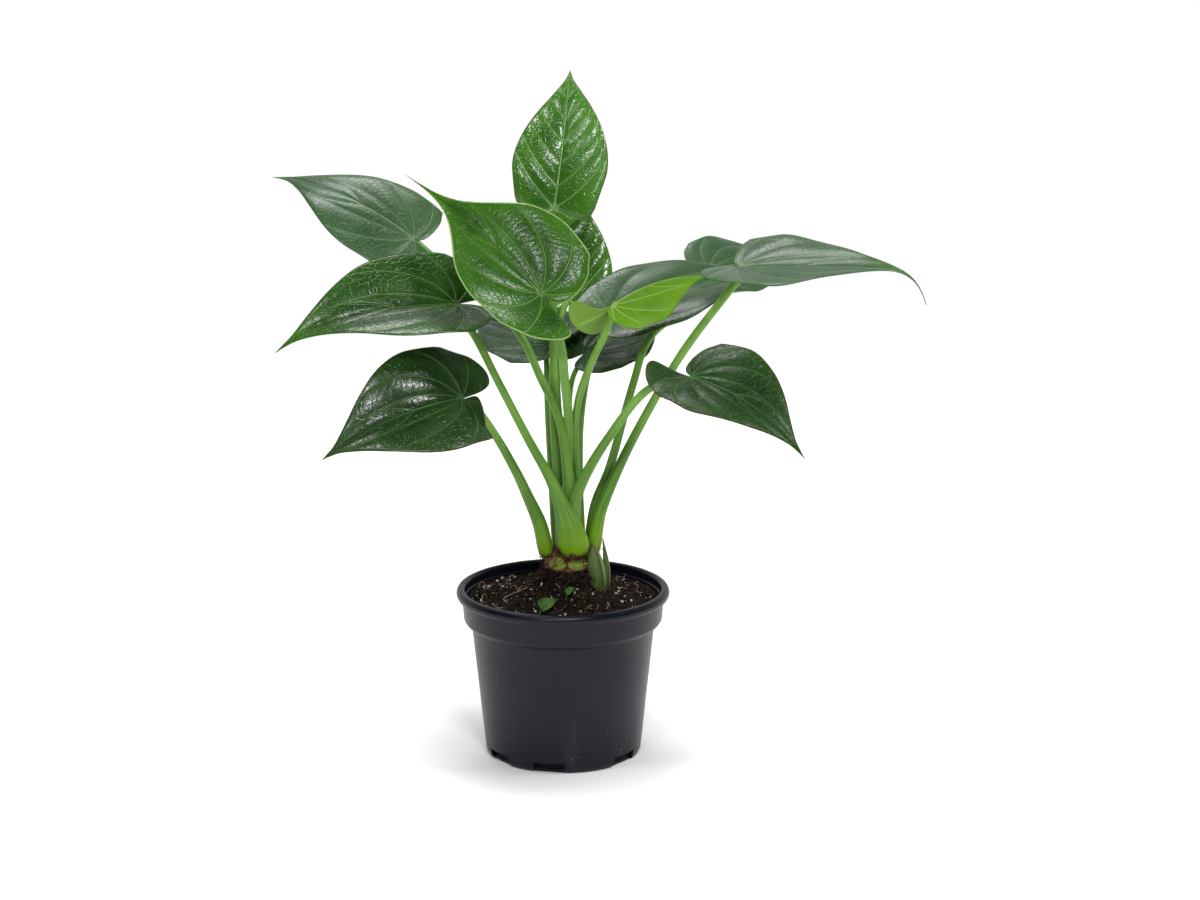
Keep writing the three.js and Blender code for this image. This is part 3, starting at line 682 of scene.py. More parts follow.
def leaf_finish(name, leaf, upper):
    """The skin of a blade: veins from its flat coordinates, mottled green, a margin line and fine cells."""
    length = midrib_length(leaf) / MAP_UNIT
    veins = leaf["veins"]
    coat = leaf["sheen"] if upper else 0.0
    finish = Finish(name, coat=coat, specular=leaf["shine"] if upper else BACK_GLOSS)
    finish.surface.inputs["Coat Roughness"].default_value = 0.2
    x, y = finish.map("flat")
    rim, share = finish.map("rim")
    y = abs(y)
    to_tip = ((length - x) ** 2 + y * y) ** 0.5 + 0.0001
    tip_angle = y.maths("ARCTAN2", length - x)

    midrib = (y / (MIDRIB_WIDTH[0] - MIDRIB_WIDTH[1] * x)).fade(1.3, 0.5)
    nearest = y
    lines = None
    for start, angle in [(0, None), *veins["late"]]:
        ahead = x - start * length
        out = (ahead * ahead + y * y) ** 0.5 + 0.0001
        turn = y.maths("ARCTAN2", ahead) + veins["closing"] * tip_angle
        scale = out * to_tip / (to_tip + veins["closing"] * out)
        if angle is None:
            number = ((turn - veins["first"]) / veins["step"]).maths("ROUND").most(0)
            off = abs(turn - (number * veins["step"] + veins["first"])) * scale
            width = VEIN_WIDTH[0] - VEIN_WIDTH[1] * out
        else:
            off = abs(turn - angle) * scale
            width = LATE_VEIN_WIDTH[0] - LATE_VEIN_WIDTH[1] * out
        nearest = nearest.least(off)
        line = (off / width.most(THINNEST_VEIN)).fade(1.4, 0.4)
        lines = line if lines is None else lines.most(line)
    lines = lines * share.fade(1.0, 0.8)

    cover = finish.noise(28, 4, 0.55)
    speck = finish.noise(160, 3, 0.6)
    net = finish.cells(230, "DISTANCE_TO_EDGE").fade(0.0, 0.07)
    fine = finish.cells(1500)
    away = (x * x + y * y) ** 0.5
    rungs = ((away * 150 + cover * 40 + speck * 6).maths("SINE") * 0.5 + 0.5) * nearest.fade(0.0, 0.05)

    dark, light, pale = leaf["dark"], leaf["light"], leaf["vein"]
    if not upper:
        dark, light, pale = (back_colour(colour, leaf["vein"]) for colour in (dark, light, pale))
    tip = (light, (x / length).fade(0.72, 1.0) * 0.75)
    if leaf["fresh"]:
        tip = (leaf["fresh"], (x / length + (cover - 0.5) * 0.3).fade(0.64, 0.9) * 0.85)
    margin = (light, rim.fade(0.02, 0.0) * 0.4)
    if leaf["margin"]:
        margin = (leaf["margin"], rim.fade(0.014, 0.005) * 0.85)
    dust = []
    if upper:
        dots = finish.cells(95).fade(0.09, 0.05) * finish.noise(11, 2).fade(0.6, 0.68)
        dust = [(DUST_DOT, dots * 0.5)]
    finish.paint(
        dark,
        (light, cover.fade(0.3, 0.72) * 0.7),
        tip,
        (light, rim.fade(0.24, 0.02) * 0.6),
        (light, nearest.fade(0.03, 0.0) * 0.35),
        (dark, speck.fade(0.5, 0.75) * 0.25),
        (dark, (1 - net) * 0.12),
        (pale, lines * (0.8 if leaf["young"] else 0.5)),
        (pale, midrib * 0.8),
        (pale, away.fade(0.05, 0.015) * 0.9),
        margin,
        *dust,
    )

    finish.dull(cover * 0.1 + speck * 0.08 + (leaf["rough"] if upper else leaf["rough"] + BACK_ROUGHER))
    puff = nearest / (nearest + 0.035)
    sign = 1 if upper else -1
    part = SKIN_RELIEF
    height = puff * sign * part["puff"] - lines * sign * part["lines"] - midrib * sign * part["midrib"]
    height = height + rungs * part["rungs"] + net * part["net"] + fine * part["fine"]
    height = height + cover * part["cover"] + speck * part["speck"]
    return finish.relief(height, FACE_DEPTH if upper else BACK_DEPTH)


def stalk_path(points, steps):
    """Places and tangents along a smooth curve through points, closer together near its foot."""
    points = np.array(points, float)
    points = np.vstack([2 * points[0] - points[1], points, 2 * points[-1] - points[-2]])
    fine = []
    for i in range(len(points) - 3):
        fine += [curve_point(*points[i:i + 4], t) for t in np.arange(0, 1, 1 / CURVE_STEPS)]
    fine.append(points[-2])
    fine = np.array(fine)
    way = np.concatenate([[0], np.cumsum(np.linalg.norm(np.diff(fine, axis=0), axis=1))])
    shares = (np.arange(steps + 1) / steps) ** STALK_CROWDING
    centres = np.stack([np.interp(shares * way[-1], way, fine[:, k]) for k in range(3)], axis=1)
    tangents = unit(np.gradient(centres, axis=0))
    return shares, way[-1], centres, tangents


def stalk_object(name, points, size_at, outward, steps, sides, finish, trim=None):
    """A stalk along a curve. size_at gives half width and half depth for a share and a distance."""
    shares, length, centres, tangents = stalk_path(points, steps)
    wide = unit(np.cross(tangents, outward))
    deep = np.cross(wide, tangents)
    angles = 2 * math.pi * np.arange(sides) / sides
    rings = []
    maps = []
    for i, share in enumerate(shares):
        half_width, half_depth = size_at(share, share * length)
        rings.append(
            centres[i]
            + np.outer(half_width * np.cos(angles), wide[i])
            + np.outer(half_depth * np.sin(angles), deep[i])
        )
        way = np.full(sides, share * length / MAP_UNIT)
        maps.append(np.stack([angles / (2 * math.pi), way], axis=1))
    points = np.concatenate(rings)
    if trim is not None:
        points = trim(points)
    faces = []
    for i in range(steps):
        for k in range(sides):
            a = i * sides + k
            b = i * sides + (k + 1) % sides
            faces.append((a, a + sides, b + sides, b))
    faces.append(tuple(range(sides)))
    faces.append(tuple(steps * sides + k for k in reversed(range(sides))))
    return smooth_object(name, points, faces, [finish], maps={"way": np.concatenate(maps)})


def even(radius):
    """The same radius all along a stalk."""
    return lambda share, distance: [radius, radius]


def petiole_object(name, leaf, finish):
    turn = math.radians(leaf["faces"])
    outward = np.array([math.cos(turn), math.sin(turn), 0])

    def at_midrib(lift):
        return midrib_place(leaf, PETIOLE_END, lift)

    end = at_midrib(-BLADE_THICK / 2 - leaf["under"])
    top = at_midrib(-BLADE_THICK / 2)
    face = unit(at_midrib(1) - at_midrib(0))

    def size_at(share, distance):
        sheath = 1 / (1 + (distance / leaf["sheath"]) ** 3)
        stalk = leaf["stalk"] * (1 + PETIOLE_SWELL * (1 - share))
        early = min(distance / BASE_ROUND, 1)
        rounded = 0.4 + 0.6 * math.sqrt(1 - (1 - early) ** 2)
        return [(stalk + (size - stalk) * sheath) * rounded for size in leaf["base"]]

    def trim(points):
        over = (points - top) @ face + TRIM_GAP
        near = np.linalg.norm(points - top, axis=1) < TRIM_REACH
        return points - np.outer(np.where(near, np.maximum(over, 0), 0), face)

    return stalk_object(
        name, [*leaf["path"], tuple(end)], size_at, outward, PETIOLE_STEPS, PETIOLE_SIDES, finish, trim
    )


def petiole_finish():
    """Petioles: fine lengthwise streaks, painted lighter towards the blade over painted shade lower down,
    lime and brown at the clasping base.
    """
    finish = Finish("petiole skin", roughness=0.42, specular=0.16)
    green, pale_green, painted_lit_green = (0.075, 0.18, 0.026), (0.14, 0.285, 0.042), (0.19, 0.39, 0.065)
    deep_green, lime, brown = (0.05, 0.145, 0.018), (0.18, 0.35, 0.006), (0.1, 0.04, 0.018)
    around, way = finish.map("way")
    streak = finish.streaks(around * 26, way * 1.1)
    patch = finish.noise(38, 3)
    finish.paint(
        green,
        (pale_green, streak.fade(0.35, 0.65)),
        # Painted light and shade: darker green low on the stalks, lighter towards the blade
        (painted_lit_green, (way + (patch - 0.5) * 0.5).fade(0.7, 1.7) * 0.75),
        (deep_green, patch.fade(0.4, 0.7) * 0.45),
        (lime, (way + (patch - 0.5) * 0.2).fade(0.42, 0.06) * 0.85),
        (brown, (way + (patch - 0.5) * 0.04).fade(0.04, 0.022) * 0.9),
    )
    finish.dull(streak * 0.15 + 0.3)
    return finish.relief(streak * 0.25 + patch * 0.4 + finish.noise(900, 2) * 0.1, 0.0005)


def turned_object(name, profile, segments, finish, shape=None, centre=(0, 0)):
    """A closed body turned from a profile of (radius, height) that starts and ends on the axis."""
    angles = 2 * math.pi * np.arange(segments) / segments
    inner = profile[1:-1]
    points = [(0, 0, profile[0][1])]
    for radius, height in inner:
        points += [(radius * math.cos(a), radius * math.sin(a), height) for a in angles]
    points.append((0, 0, profile[-1][1]))
    points = np.array(points, float)
    if shape is not None:
        points = shape(points)
    points[:, 0] += centre[0]
    points[:, 1] += centre[1]
    faces = []
    last = len(points) - 1
    for k in range(segments):
        n = (k + 1) % segments
        faces.append((0, 1 + n, 1 + k))
        for ring in range(len(inner) - 1):
            a = 1 + ring * segments
            faces.append((a + k, a + n, a + segments + n, a + segments + k))
        a = 1 + (len(inner) - 1) * segments
        faces.append((a + k, a + n, last))
    return smooth_object(name, points, faces, [finish])


def rounded_run(points, steps):
    """The same run of points with its inner corners cut into short curves."""
    run = [points[0]]
    for before, here, after in zip(points, points[1:], points[2:]):
        before, here, after = (np.array(p, float) for p in (before, here, after))
        reach = min(CORNER_ROUND, 0.4 * np.linalg.norm(before - here), 0.4 * np.linalg.norm(after - here))
        start = here + unit(before - here) * reach
        end = here + unit(after - here) * reach
        for i in range(steps + 1):
            t = i / steps
            run.append(tuple((1 - t) ** 2 * start + 2 * t * (1 - t) * here + t * t * end))
    return [*run, points[-1]]


def arc_points(radius, height, size, start, end, steps):
    angles = np.radians(np.linspace(start, end, steps + 1))
    return [(radius + size * math.cos(a), height + size * math.sin(a)) for a in angles]


def pot_inside():
    return [
        (MOUTH_RADIUS - LEDGE_WIDTH, LEDGE_HEIGHT - 0.6),
        (BAND_FOOT_RADIUS - POT_WALL - 1, BAND_FOOT_HEIGHT + 1),
        (BODY_TOP_RADIUS - POT_WALL, BODY_TOP_HEIGHT),
        (BODY_FOOT_RADIUS - POT_WALL, FOOT_ROUND + 1),
        (BODY_FOOT_RADIUS - FOOT_ROUND, POT_FLOOR),
    ]


def pot_object(finish):
    rim_foot = POT_HEIGHT - RIM_DEPTH
    flare = BODY_TOP_RADIUS - BODY_FOOT_RADIUS
    rise = BODY_TOP_HEIGHT - FOOT_ROUND
    profile = rounded_run([
        (0, 0),
        *arc_points(BODY_FOOT_RADIUS - FOOT_ROUND, FOOT_ROUND, FOOT_ROUND, -90, 0, 6),
        *((BODY_FOOT_RADIUS + flare * t, FOOT_ROUND + rise * t) for t in WALL_STEPS),
        (BODY_TOP_RADIUS, BODY_TOP_HEIGHT),
        (BAND_FOOT_RADIUS - 2, BODY_TOP_HEIGHT + 2),
        (BAND_FOOT_RADIUS, BAND_FOOT_HEIGHT),
        (BAND_TOP_RADIUS, rim_foot - 1.5),
        (BAND_TOP_RADIUS + 1.2, rim_foot),
        (RIM_RADIUS - 1, rim_foot),
        (RIM_RADIUS, rim_foot + 2.2),
        (RIM_RADIUS, POT_HEIGHT - 3),
        (RIM_RADIUS - 1.4, POT_HEIGHT - 0.6),
        (RIM_RADIUS - 3.2, POT_HEIGHT),
        (MOUTH_RADIUS + 1.4, POT_HEIGHT),
        (MOUTH_RADIUS, POT_HEIGHT - 1.6),
        (MOUTH_RADIUS, LEDGE_HEIGHT),
        *pot_inside(),
        (0, POT_FLOOR),
    ], 3)
    pot = turned_object("pot shell", profile, POT_SEGMENTS, finish)
    wide, deep, high = NOTCH_WIDTH / 2, FOOT_ROUND, NOTCH_HEIGHT
    block = [(x, y, z) for x in (-wide, wide) for y in (-deep, deep) for z in (-high, high)]
    sides = [(0, 1, 3, 2), (4, 6, 7, 5), (0, 4, 5, 1), (2, 3, 7, 6), (0, 2, 6, 4), (1, 5, 7, 3)]
    for i, angle in enumerate(NOTCH_ANGLES):
        around = Matrix.Rotation(math.radians(angle), 3, "Z")
        corners = [around @ Vector((x, y - BODY_FOOT_RADIUS, z)) for x, y, z in block]
        cutter = smooth_object(f"notch cutter {i}", corners, sides, [finish], smooth=False)
        cut = pot.modifiers.new("notch", "BOOLEAN")
        cut.operation = "DIFFERENCE"
        cut.solver = "EXACT"
        cut.object = cutter
        made_plain(pot)
        bpy.data.objects.remove(cutter)
    pot.data.set_sharp_from_angle(angle=math.radians(SHARP_CORNER))
    return pot


def made_plain(thing):
    """Bakes an object's modifiers into its mesh and removes them."""
    bpy.context.view_layer.update()
    mesh = bpy.data.meshes.new_from_object(thing.evaluated_get(bpy.context.evaluated_depsgraph_get()))
    thing.modifiers.clear()
    thing.data = mesh


def pot_finish():
    """Black moulded plastic, a little dusty towards the foot."""
    finish = Finish("pot plastic", roughness=0.38, specular=0.24)
    patch = finish.noise(9, 4, 0.6)
    grain = finish.noise(650, 3, 0.6)
    scuff = finish.noise(30, 5, 0.7, stretch=(1, 1, 0.25))
    low = finish.height()
    dust = finish.cells(230).fade(0.16, 0.09) * finish.noise(26, 3).fade(0.5, 0.7) * low.fade(0.06, 0.0)
    film = scuff.fade(0.5, 0.75) * low.fade(0.09, 0.0)
    black, soft_black = (0.0025, 0.0025, 0.008), (0.005, 0.005, 0.013)
    grey_film, pale_dust = (0.04, 0.04, 0.045), (0.3, 0.28, 0.25)
    finish.paint(
        black,
        (soft_black, patch.fade(0.35, 0.7)),
        (grey_film, film * 0.4),
        (pale_dust, dust * 0.7),
    )
    finish.dull(patch * 0.1 + grain * 0.08 + film * 0.15 + 0.28)
    return finish.relief(grain * 0.1 + scuff * 0.15 + patch * 0.5 + dust * 0.4, 0.0004)


def soil_height(x, y):
    """A low mound in the pot, heaped up round the stem."""
    share = np.minimum(np.hypot(x, y) / (MOUTH_RADIUS - LEDGE_WIDTH), 1)
    mound = SOIL_MOUND * (0.5 + 0.5 * np.cos(math.pi * share))
    away = np.hypot(x - STEM_CENTRE[0], y - STEM_CENTRE[1]) / HEAP_RADIUS
    return SOIL_EDGE_HEIGHT + mound + HEAP_HEIGHT / (1 + away**8)


def lumps(x, y, draw, waves):
    """Smooth bumps over the plane from a few seeded waves, between about -1 and 1."""
    total = np.zeros_like(x)
    for _ in range(waves):
        turn = draw.uniform(0, 2 * math.pi)
        pitch = draw.uniform(0.15, 0.75)
        total += np.sin(pitch * (x * math.cos(turn) + y * math.sin(turn)) + draw.uniform(0, FULL_TURN))
    return total / math.sqrt(waves) / 1.4


def soil_object(finish):
    rim = MOUTH_RADIUS - LEDGE_WIDTH - 0.6
    tops = [(r, SOIL_EDGE_HEIGHT) for r in np.linspace(rim, 1.5, SOIL_RINGS)]
    walls = [(r - 0.6, z + 0.3) for r, z in pot_inside()[:0:-1]]
    profile = [(0, POT_FLOOR + 0.3), *walls, *tops, (0, SOIL_EDGE_HEIGHT)]
    draw = np.random.default_rng(7)

    def shape(points):
        x, y = points[:, 0], points[:, 1]
        clods = 0.9 * lumps(x, y, draw, 14) + 0.7 * lumps(2.6 * x, 2.6 * y, draw, 16)
        clods *= np.hypot(x, y) < rim - 0.5
        on_top = points[:, 2] > SOIL_EDGE_HEIGHT - 1
        points[:, 2] = np.where(on_top, soil_height(x, y) + clods, points[:, 2])
        return points

    return turned_object("soil surface", profile, SOIL_SEGMENTS, finish, shape)


def soil_finish():
    """Dark, moist potting mix: crumbs, fibres and pale bits, and painted shade, near black, below the pot's
    notches.
    """
    finish = Finish("potting soil", roughness=0.92, specular=0.25)
    clod = finish.noise(90, 5, 0.65)
    crumb = finish.cells(420)
    grit = finish.noise(1100, 4, 0.7)
    black_peat, brown_peat = (0.003, 0.002, 0.0015), (0.022, 0.014, 0.009)
    fibre, pale_bit, painted_notch_shade = (0.08, 0.05, 0.03), (0.34, 0.3, 0.24), (0.003, 0.003, 0.003)
    finish.paint(
        black_peat,
        (brown_peat, clod.fade(0.35, 0.7)),
        (fibre, grit.fade(0.62, 0.75) * 0.6),
        (pale_bit, finish.cells(310).fade(0.11, 0.07) * 0.5),
        # Painted shade: near black low in the pot, where the notches show the soil
        (painted_notch_shade, finish.height().fade(0.05, 0.03)),
    )
    finish.dull(clod * 0.15 + 0.8)
    return finish.relief(clod * 1.6 + crumb * 1.2 + grit * 0.5, 0.0032)


def plain_finish(name, dark, light, scale, roughness, depth, specular=0.4):
    """A mottled, grained finish for small pieces."""
    finish = Finish(name, roughness=roughness, specular=specular)
    patch = finish.noise(scale, 4, 0.6)
    grain = finish.noise(scale * 9, 3, 0.65)
    finish.paint(dark, (light, patch.fade(0.3, 0.7)), (dark, grain.fade(0.5, 0.75) * 0.4))
    finish.dull(grain * 0.2 + (roughness - 0.1))
    return finish.relief(patch * 0.6 + grain * 0.4, depth)


def stem_finish():
    """The stem: pale leaf scars with brown rims round its shoulder, and dark rooty soil below them."""
    finish = Finish("stem skin", roughness=0.75, specular=0.3)
    bark, pale_bark, rim = (0.05, 0.02, 0.012), (0.2, 0.1, 0.055), (0.11, 0.035, 0.018)
    scar_green, scar_olive = (0.27, 0.33, 0.05), (0.15, 0.19, 0.04)
    wet_soil, dry_soil = (0.008, 0.005, 0.004), (0.07, 0.045, 0.025)
    x, y, z = finish.place_parts()
    patch = finish.noise(60, 4, 0.6)
    grain = finish.noise(700, 3, 0.7)
    strand = finish.noise(160, 4, 0.6, stretch=(0.5, 0.5, 2.4))
    scar_pitch = math.tau * STEM_RADIUS / SCAR_COUNT
    turn = (y - STEM_CENTRE[1] * MM).maths("ARCTAN2", x - STEM_CENTRE[0] * MM) * (SCAR_COUNT / math.tau)
    across = ((turn + SCAR_PHASE).maths("FRACT") - 0.5) * (scar_pitch / SCAR_HALF_WIDTH)
    up = (z - SCAR_HEIGHT * MM) * (1 / (SCAR_HALF_HEIGHT * MM))
    scar = (across * across + up * up) ** 0.5 + (patch - 0.5) * 0.9
    finish.paint(
        bark,
        (pale_bark, strand.fade(0.35, 0.65)),
        (rim, scar.fade(1.45, 1.2)),
        (scar_green, scar.fade(1.25, 1.05)),
        (scar_olive, strand.fade(0.5, 0.62) * scar.fade(1.1, 0.9) * 0.5),
        (wet_soil, (z + (patch - 0.5) * 0.008).fade(0.1535, 0.1515)),
        (dry_soil, grain.fade(0.6, 0.75) * 0.35),
    )
    finish.dull(patch * 0.2 + 0.6)
    return finish.relief(strand * 1.0 + patch * 0.8 + grain * 0.4 - scar.fade(1.3, 0.8) * 0.5, 0.0018)


def stem_object(finish):
    fine = [STEM_PROFILE[0]]
    for a, b in zip(STEM_PROFILE, STEM_PROFILE[1:]):
        steps = max(1, int(math.dist(a, b) / STEM_RING_STEP))
        for i in range(1, steps + 1):
            fine.append((a[0] + (b[0] - a[0]) * i / steps, a[1] + (b[1] - a[1]) * i / steps))
    draw = np.random.default_rng(5)

    def shape(points):
        turn = np.arctan2(points[:, 1], points[:, 0])
        bump = lumps(turn * 14, points[:, 2] * 2.2, draw, 12)
        swell = 1 + 0.014 * bump * np.clip(np.hypot(points[:, 0], points[:, 1]) / 8, 0, 1)
        points[:, 0] *= swell
        points[:, 1] *= swell
        return points

    return turned_object("stem", fine, STEM_SEGMENTS, finish, shape, STEM_CENTRE)


class Grower(Nodes):
    """A geometry node tree with named inputs that grows small pieces on a mesh."""

    def __init__(self, name, inputs):
        self.tree = bpy.data.node_groups.new(name, "GeometryNodeTree")
        self.keys = {}
        self.tree.interface.new_socket("Geometry", in_out="INPUT", socket_type="NodeSocketGeometry")
        for label, kind in inputs.items():
            socket = self.tree.interface.new_socket(label, in_out="INPUT", socket_type=f"NodeSocket{kind}")
            self.keys[label] = socket.identifier
        self.tree.interface.new_socket("Geometry", in_out="OUTPUT", socket_type="NodeSocketGeometry")
        self.source = self.tree.nodes.new("NodeGroupInput")
        self.result = self.tree.nodes.new("NodeGroupOutput")

    def given(self, label):
        return self.source.outputs[label]

    def random(self, kind, low, high, seed):
        """A seeded random FLOAT or FLOAT_VECTOR for each item."""
        node = self.node("FunctionNodeRandomValue", {"data_type": kind})
        low_place, high_place = (0, 1) if kind == "FLOAT_VECTOR" else (2, 3)
        node.inputs[low_place].default_value = low
        node.inputs[high_place].default_value = high
        node.inputs["Seed"].default_value = seed
        return node.outputs[0 if kind == "FLOAT_VECTOR" else 1]

    def vector(self, x, y, z):
        return self.node("ShaderNodeCombineXYZ", inputs={"X": x, "Y": y, "Z": z}).outputs[0]

    def scaled(self, vector, size):
        node = self.node("ShaderNodeVectorMath", {"operation": "SCALE"}, {0: vector, "Scale": size})
        return node.outputs[0]

    def spots(self):
        """Seeded points on the surface, each turned about its normal and tumbled a little."""
        spots = self.node(
            "GeometryNodeDistributePointsOnFaces", {"distribute_method": "RANDOM"},
            {"Mesh": self.given("Geometry"), "Density": self.given("Density"), "Seed": self.given("Seed")},
        )
        tumble = self.scaled(self.random("FLOAT_VECTOR", (-1, -1, 0), (1, 1, 0), 21), self.given("Tumble"))
        spin = self.vector(0.0, 0.0, self.random("FLOAT", 0.0, FULL_TURN, 23))
        both = self.node("ShaderNodeVectorMath", {"operation": "ADD"}, {0: tumble, 1: spin}).outputs[0]
        facing = self.node(
            "FunctionNodeRotateRotation", {"rotation_space": "LOCAL"},
            {"Rotation": spots.outputs["Rotation"], "Rotate By": both},
        )
        return spots.outputs["Points"], facing.outputs[0]

    def wander(self, size, scale):
        """A smooth offset that differs from place to place."""
        place = self.node("GeometryNodeInputPosition").outputs[0]
        noise = self.node("ShaderNodeTexNoise", inputs={"Vector": place, "Scale": scale, "Detail": 2.0})
        centred = self.node(
            "ShaderNodeVectorMath", {"operation": "SUBTRACT"},
            {0: noise.outputs["Color"], 1: (0.5, 0.5, 0.5)},
        )
        return self.scaled(centred.outputs[0], size)

    def finish(self, geometry):
        material = self.node(
            "GeometryNodeSetMaterial", inputs={"Geometry": geometry, "Material": self.given("Material")}
        )
        self.tree.links.new(material.outputs[0], self.result.inputs[0])

    def grow(self, name, ground, values):
        """The pieces grown on a mesh object, as a plain mesh, from the inputs' values in their order."""
        thing = bpy.data.objects.new(name.replace(" ", "_"), ground.data.copy())
        bpy.context.collection.objects.link(thing)
        modifier = thing.modifiers.new("grow", "NODES")
        modifier.node_group = self.tree
        for key, value in zip(self.keys.values(), values):
            modifier[key] = value
        thing.update_tag()
        made_plain(thing)
        return thing


def bits_grower():
    """Small lumps and flakes strewn over a surface."""
    grower = Grower("scattered bits", {
        "Density": "Float", "Size": "Float", "Flat": "Float", "Tumble": "Float", "Detail": "Int",
        "Seed": "Int", "Material": "Material",
    })
    spots, facing = grower.spots()
    ball = grower.node(
        "GeometryNodeMeshIcoSphere", inputs={"Radius": 1.0, "Subdivisions": grower.given("Detail")}
    )
    spread = grower.random("FLOAT_VECTOR", (0.25, 0.2, 0.2), (1, 0.7, 0.6), 12)
    flat = grower.vector(1.0, 1.0, grower.given("Flat"))
    shape = grower.node("ShaderNodeVectorMath", {"operation": "MULTIPLY"}, {0: spread, 1: flat}).outputs[0]
    placed = grower.node(
        "GeometryNodeInstanceOnPoints",
        inputs={
            "Points": spots, "Instance": ball.outputs["Mesh"], "Rotation": facing,
            "Scale": grower.scaled(shape, grower.given("Size")),
        },
    )
    real = grower.node("GeometryNodeRealizeInstances", inputs={"Geometry": placed.outputs[0]})
    rough = grower.node(
        "GeometryNodeSetPosition",
        inputs={"Geometry": real.outputs[0], "Offset": grower.wander(grower.given("Size"), 620.0)},
    )
    grower.finish(rough.outputs[0])
    return grower


def threads_grower():
    """Wandering threads that lie on a surface."""
    grower = Grower("wandering threads", {
        "Density": "Float", "Length": "Float", "Thick": "Float", "Bend": "Float", "Tumble": "Float",
        "Seed": "Int", "Material": "Material",
    })
    spots, facing = grower.spots()
    line = grower.node("GeometryNodeCurvePrimitiveLine", inputs={"Start": (-0.5, 0, 0), "End": (0.5, 0, 0)})
    fine = grower.node("GeometryNodeResampleCurve", inputs={"Curve": line.outputs[0], "Count": 14})
    size = grower.random("FLOAT", 0.25, 1.0, 22)
    placed = grower.node(
        "GeometryNodeInstanceOnPoints",
        inputs={
            "Points": spots, "Instance": fine.outputs[0], "Rotation": facing,
            "Scale": grower.scaled(grower.vector(size, size, size), grower.given("Length")),
        },
    )
    real = grower.node("GeometryNodeRealizeInstances", inputs={"Geometry": placed.outputs[0]})
    bent = grower.node(
        "GeometryNodeSetPosition",
        inputs={"Geometry": real.outputs[0], "Offset": grower.wander(grower.given("Bend"), 130.0)},
    )
    ring = grower.node(
        "GeometryNodeCurvePrimitiveCircle", inputs={"Resolution": 5, "Radius": grower.given("Thick")}
    )
    solid = grower.node(
        "GeometryNodeCurveToMesh",
        inputs={"Curve": bent.outputs[0], "Profile Curve": ring.outputs["Curve"], "Fill Caps": True},
    )
    grower.finish(solid.outputs[0])
    return grower


def ring_patch(name, rings):
    """A band of surface between rings of (centre x, centre y, radius, height or None for the soil's top).

    Small pieces are grown on it, and it isn't kept.
    """
    points = []
    for x, y, radius, height in rings:
        for k in range(PATCH_SPOKES):
            angle = math.tau * k / PATCH_SPOKES
            place = (x + radius * math.cos(angle), y + radius * math.sin(angle))
            points.append((*place, float(soil_height(*place)) + PATCH_LIFT if height is None else height))
    faces = []
    for ring in range(len(rings) - 1):
        a = PATCH_SPOKES * ring
        b = a + PATCH_SPOKES
        for k in range(PATCH_SPOKES):
            n = (k + 1) % PATCH_SPOKES
            faces.append((a + k, b + k, b + n, a + n))
    return smooth_object(name, points, faces, [])


def round_stem(*rings):
    """Rings of (radius, height) about the stem."""
    return [(*STEM_CENTRE, radius, height) for radius, height in rings]


def low_faces(things, rise):
    """The faces of some pieces no more than a rise in mm above each one's foot, as one surface."""
    points = []
    faces = []
    for thing in things:
        corners = [v.co / MM for v in thing.data.vertices]
        top = min(c.z for c in corners) + rise
        for face in thing.data.polygons:
            if face.center.z / MM < top:
                faces.append([len(points) + k for k in face.vertices])
        points += [tuple(c) for c in corners]
    return smooth_object("petiole feet", points, faces, [])


def shoot_object(name, path, radii, finish):
    def size_at(share, distance):
        radius = float(np.interp(share * (len(radii) - 1), range(len(radii)), radii))
        return [radius, radius]

    return stalk_object(name, path, size_at, FORWARD, steps=36, sides=20, finish=finish)


def shoot_finish():
    """Young shoots: olive green with brown streaks, the sheath's overlap, and brown at foot and tip."""
    finish = Finish("shoot skin", roughness=0.5, specular=0.4)
    olive, pale_olive, brown_streak = (0.05, 0.1, 0.022), (0.12, 0.19, 0.045), (0.1, 0.045, 0.02)
    inner_green, overlap_line = (0.17, 0.28, 0.04), (0.06, 0.022, 0.012)
    foot_brown, tip_brown = (0.05, 0.026, 0.012), (0.09, 0.04, 0.02)
    around, way = finish.map("way")
    streak = finish.streaks(around * 14, way * 1.5)
    patch = finish.noise(90, 4, 0.6)
    high = finish.height() + (patch - 0.5) * 0.012
    edge = around + (patch - 0.5) * 0.04
    finish.paint(
        olive,
        (pale_olive, streak.fade(0.35, 0.65)),
        (brown_streak, streak.fade(0.6, 0.66) * 0.6),
        (inner_green, edge.fade(0.14, 0.11) * 0.7),
        (overlap_line, abs(edge - 0.135).fade(0.02, 0.008)),
        (foot_brown, high.fade(0.142, 0.134) * 0.85),
        (tip_brown, high.fade(0.166, 0.175) * 0.85),
    )
    finish.dull(streak * 0.2 + 0.4)
    return finish.relief(streak * 0.8 + patch * 0.6, 0.0008)


def seedling_stalk(name, seedling, finish):
    middle = (np.array(seedling["at"]) + np.array(seedling["foot"])) / 2
    points = [seedling["foot"], tuple(middle), tuple(midrib_place(seedling, 0.15, 0))]
    return stalk_object(name, points, even(SEEDLING_STALK), FORWARD, steps=16, sides=10, finish=finish)


def kept(piece, *nodes):
    """The piece rides on the plant and stands for these CAD nodes."""
    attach(piece, "root")
    if nodes:
        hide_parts(*nodes)
    return piece


stalks = []
stalk_skin = petiole_finish()
for name, leaf in LEAVES.items():
    title = name.replace("_", " ")
    upper = leaf_finish(f"{title} leaf face", leaf, True)
    lower = leaf_finish(f"{title} leaf back", leaf, False)
    blade = kept(blade_object(f"{title} blade", leaf, upper, lower), f"leaf_{name}_blade")
    stalk = kept(petiole_object(f"{title} petiole", leaf, stalk_skin), f"leaf_{name}_petiole")
    stalks.append(stalk)

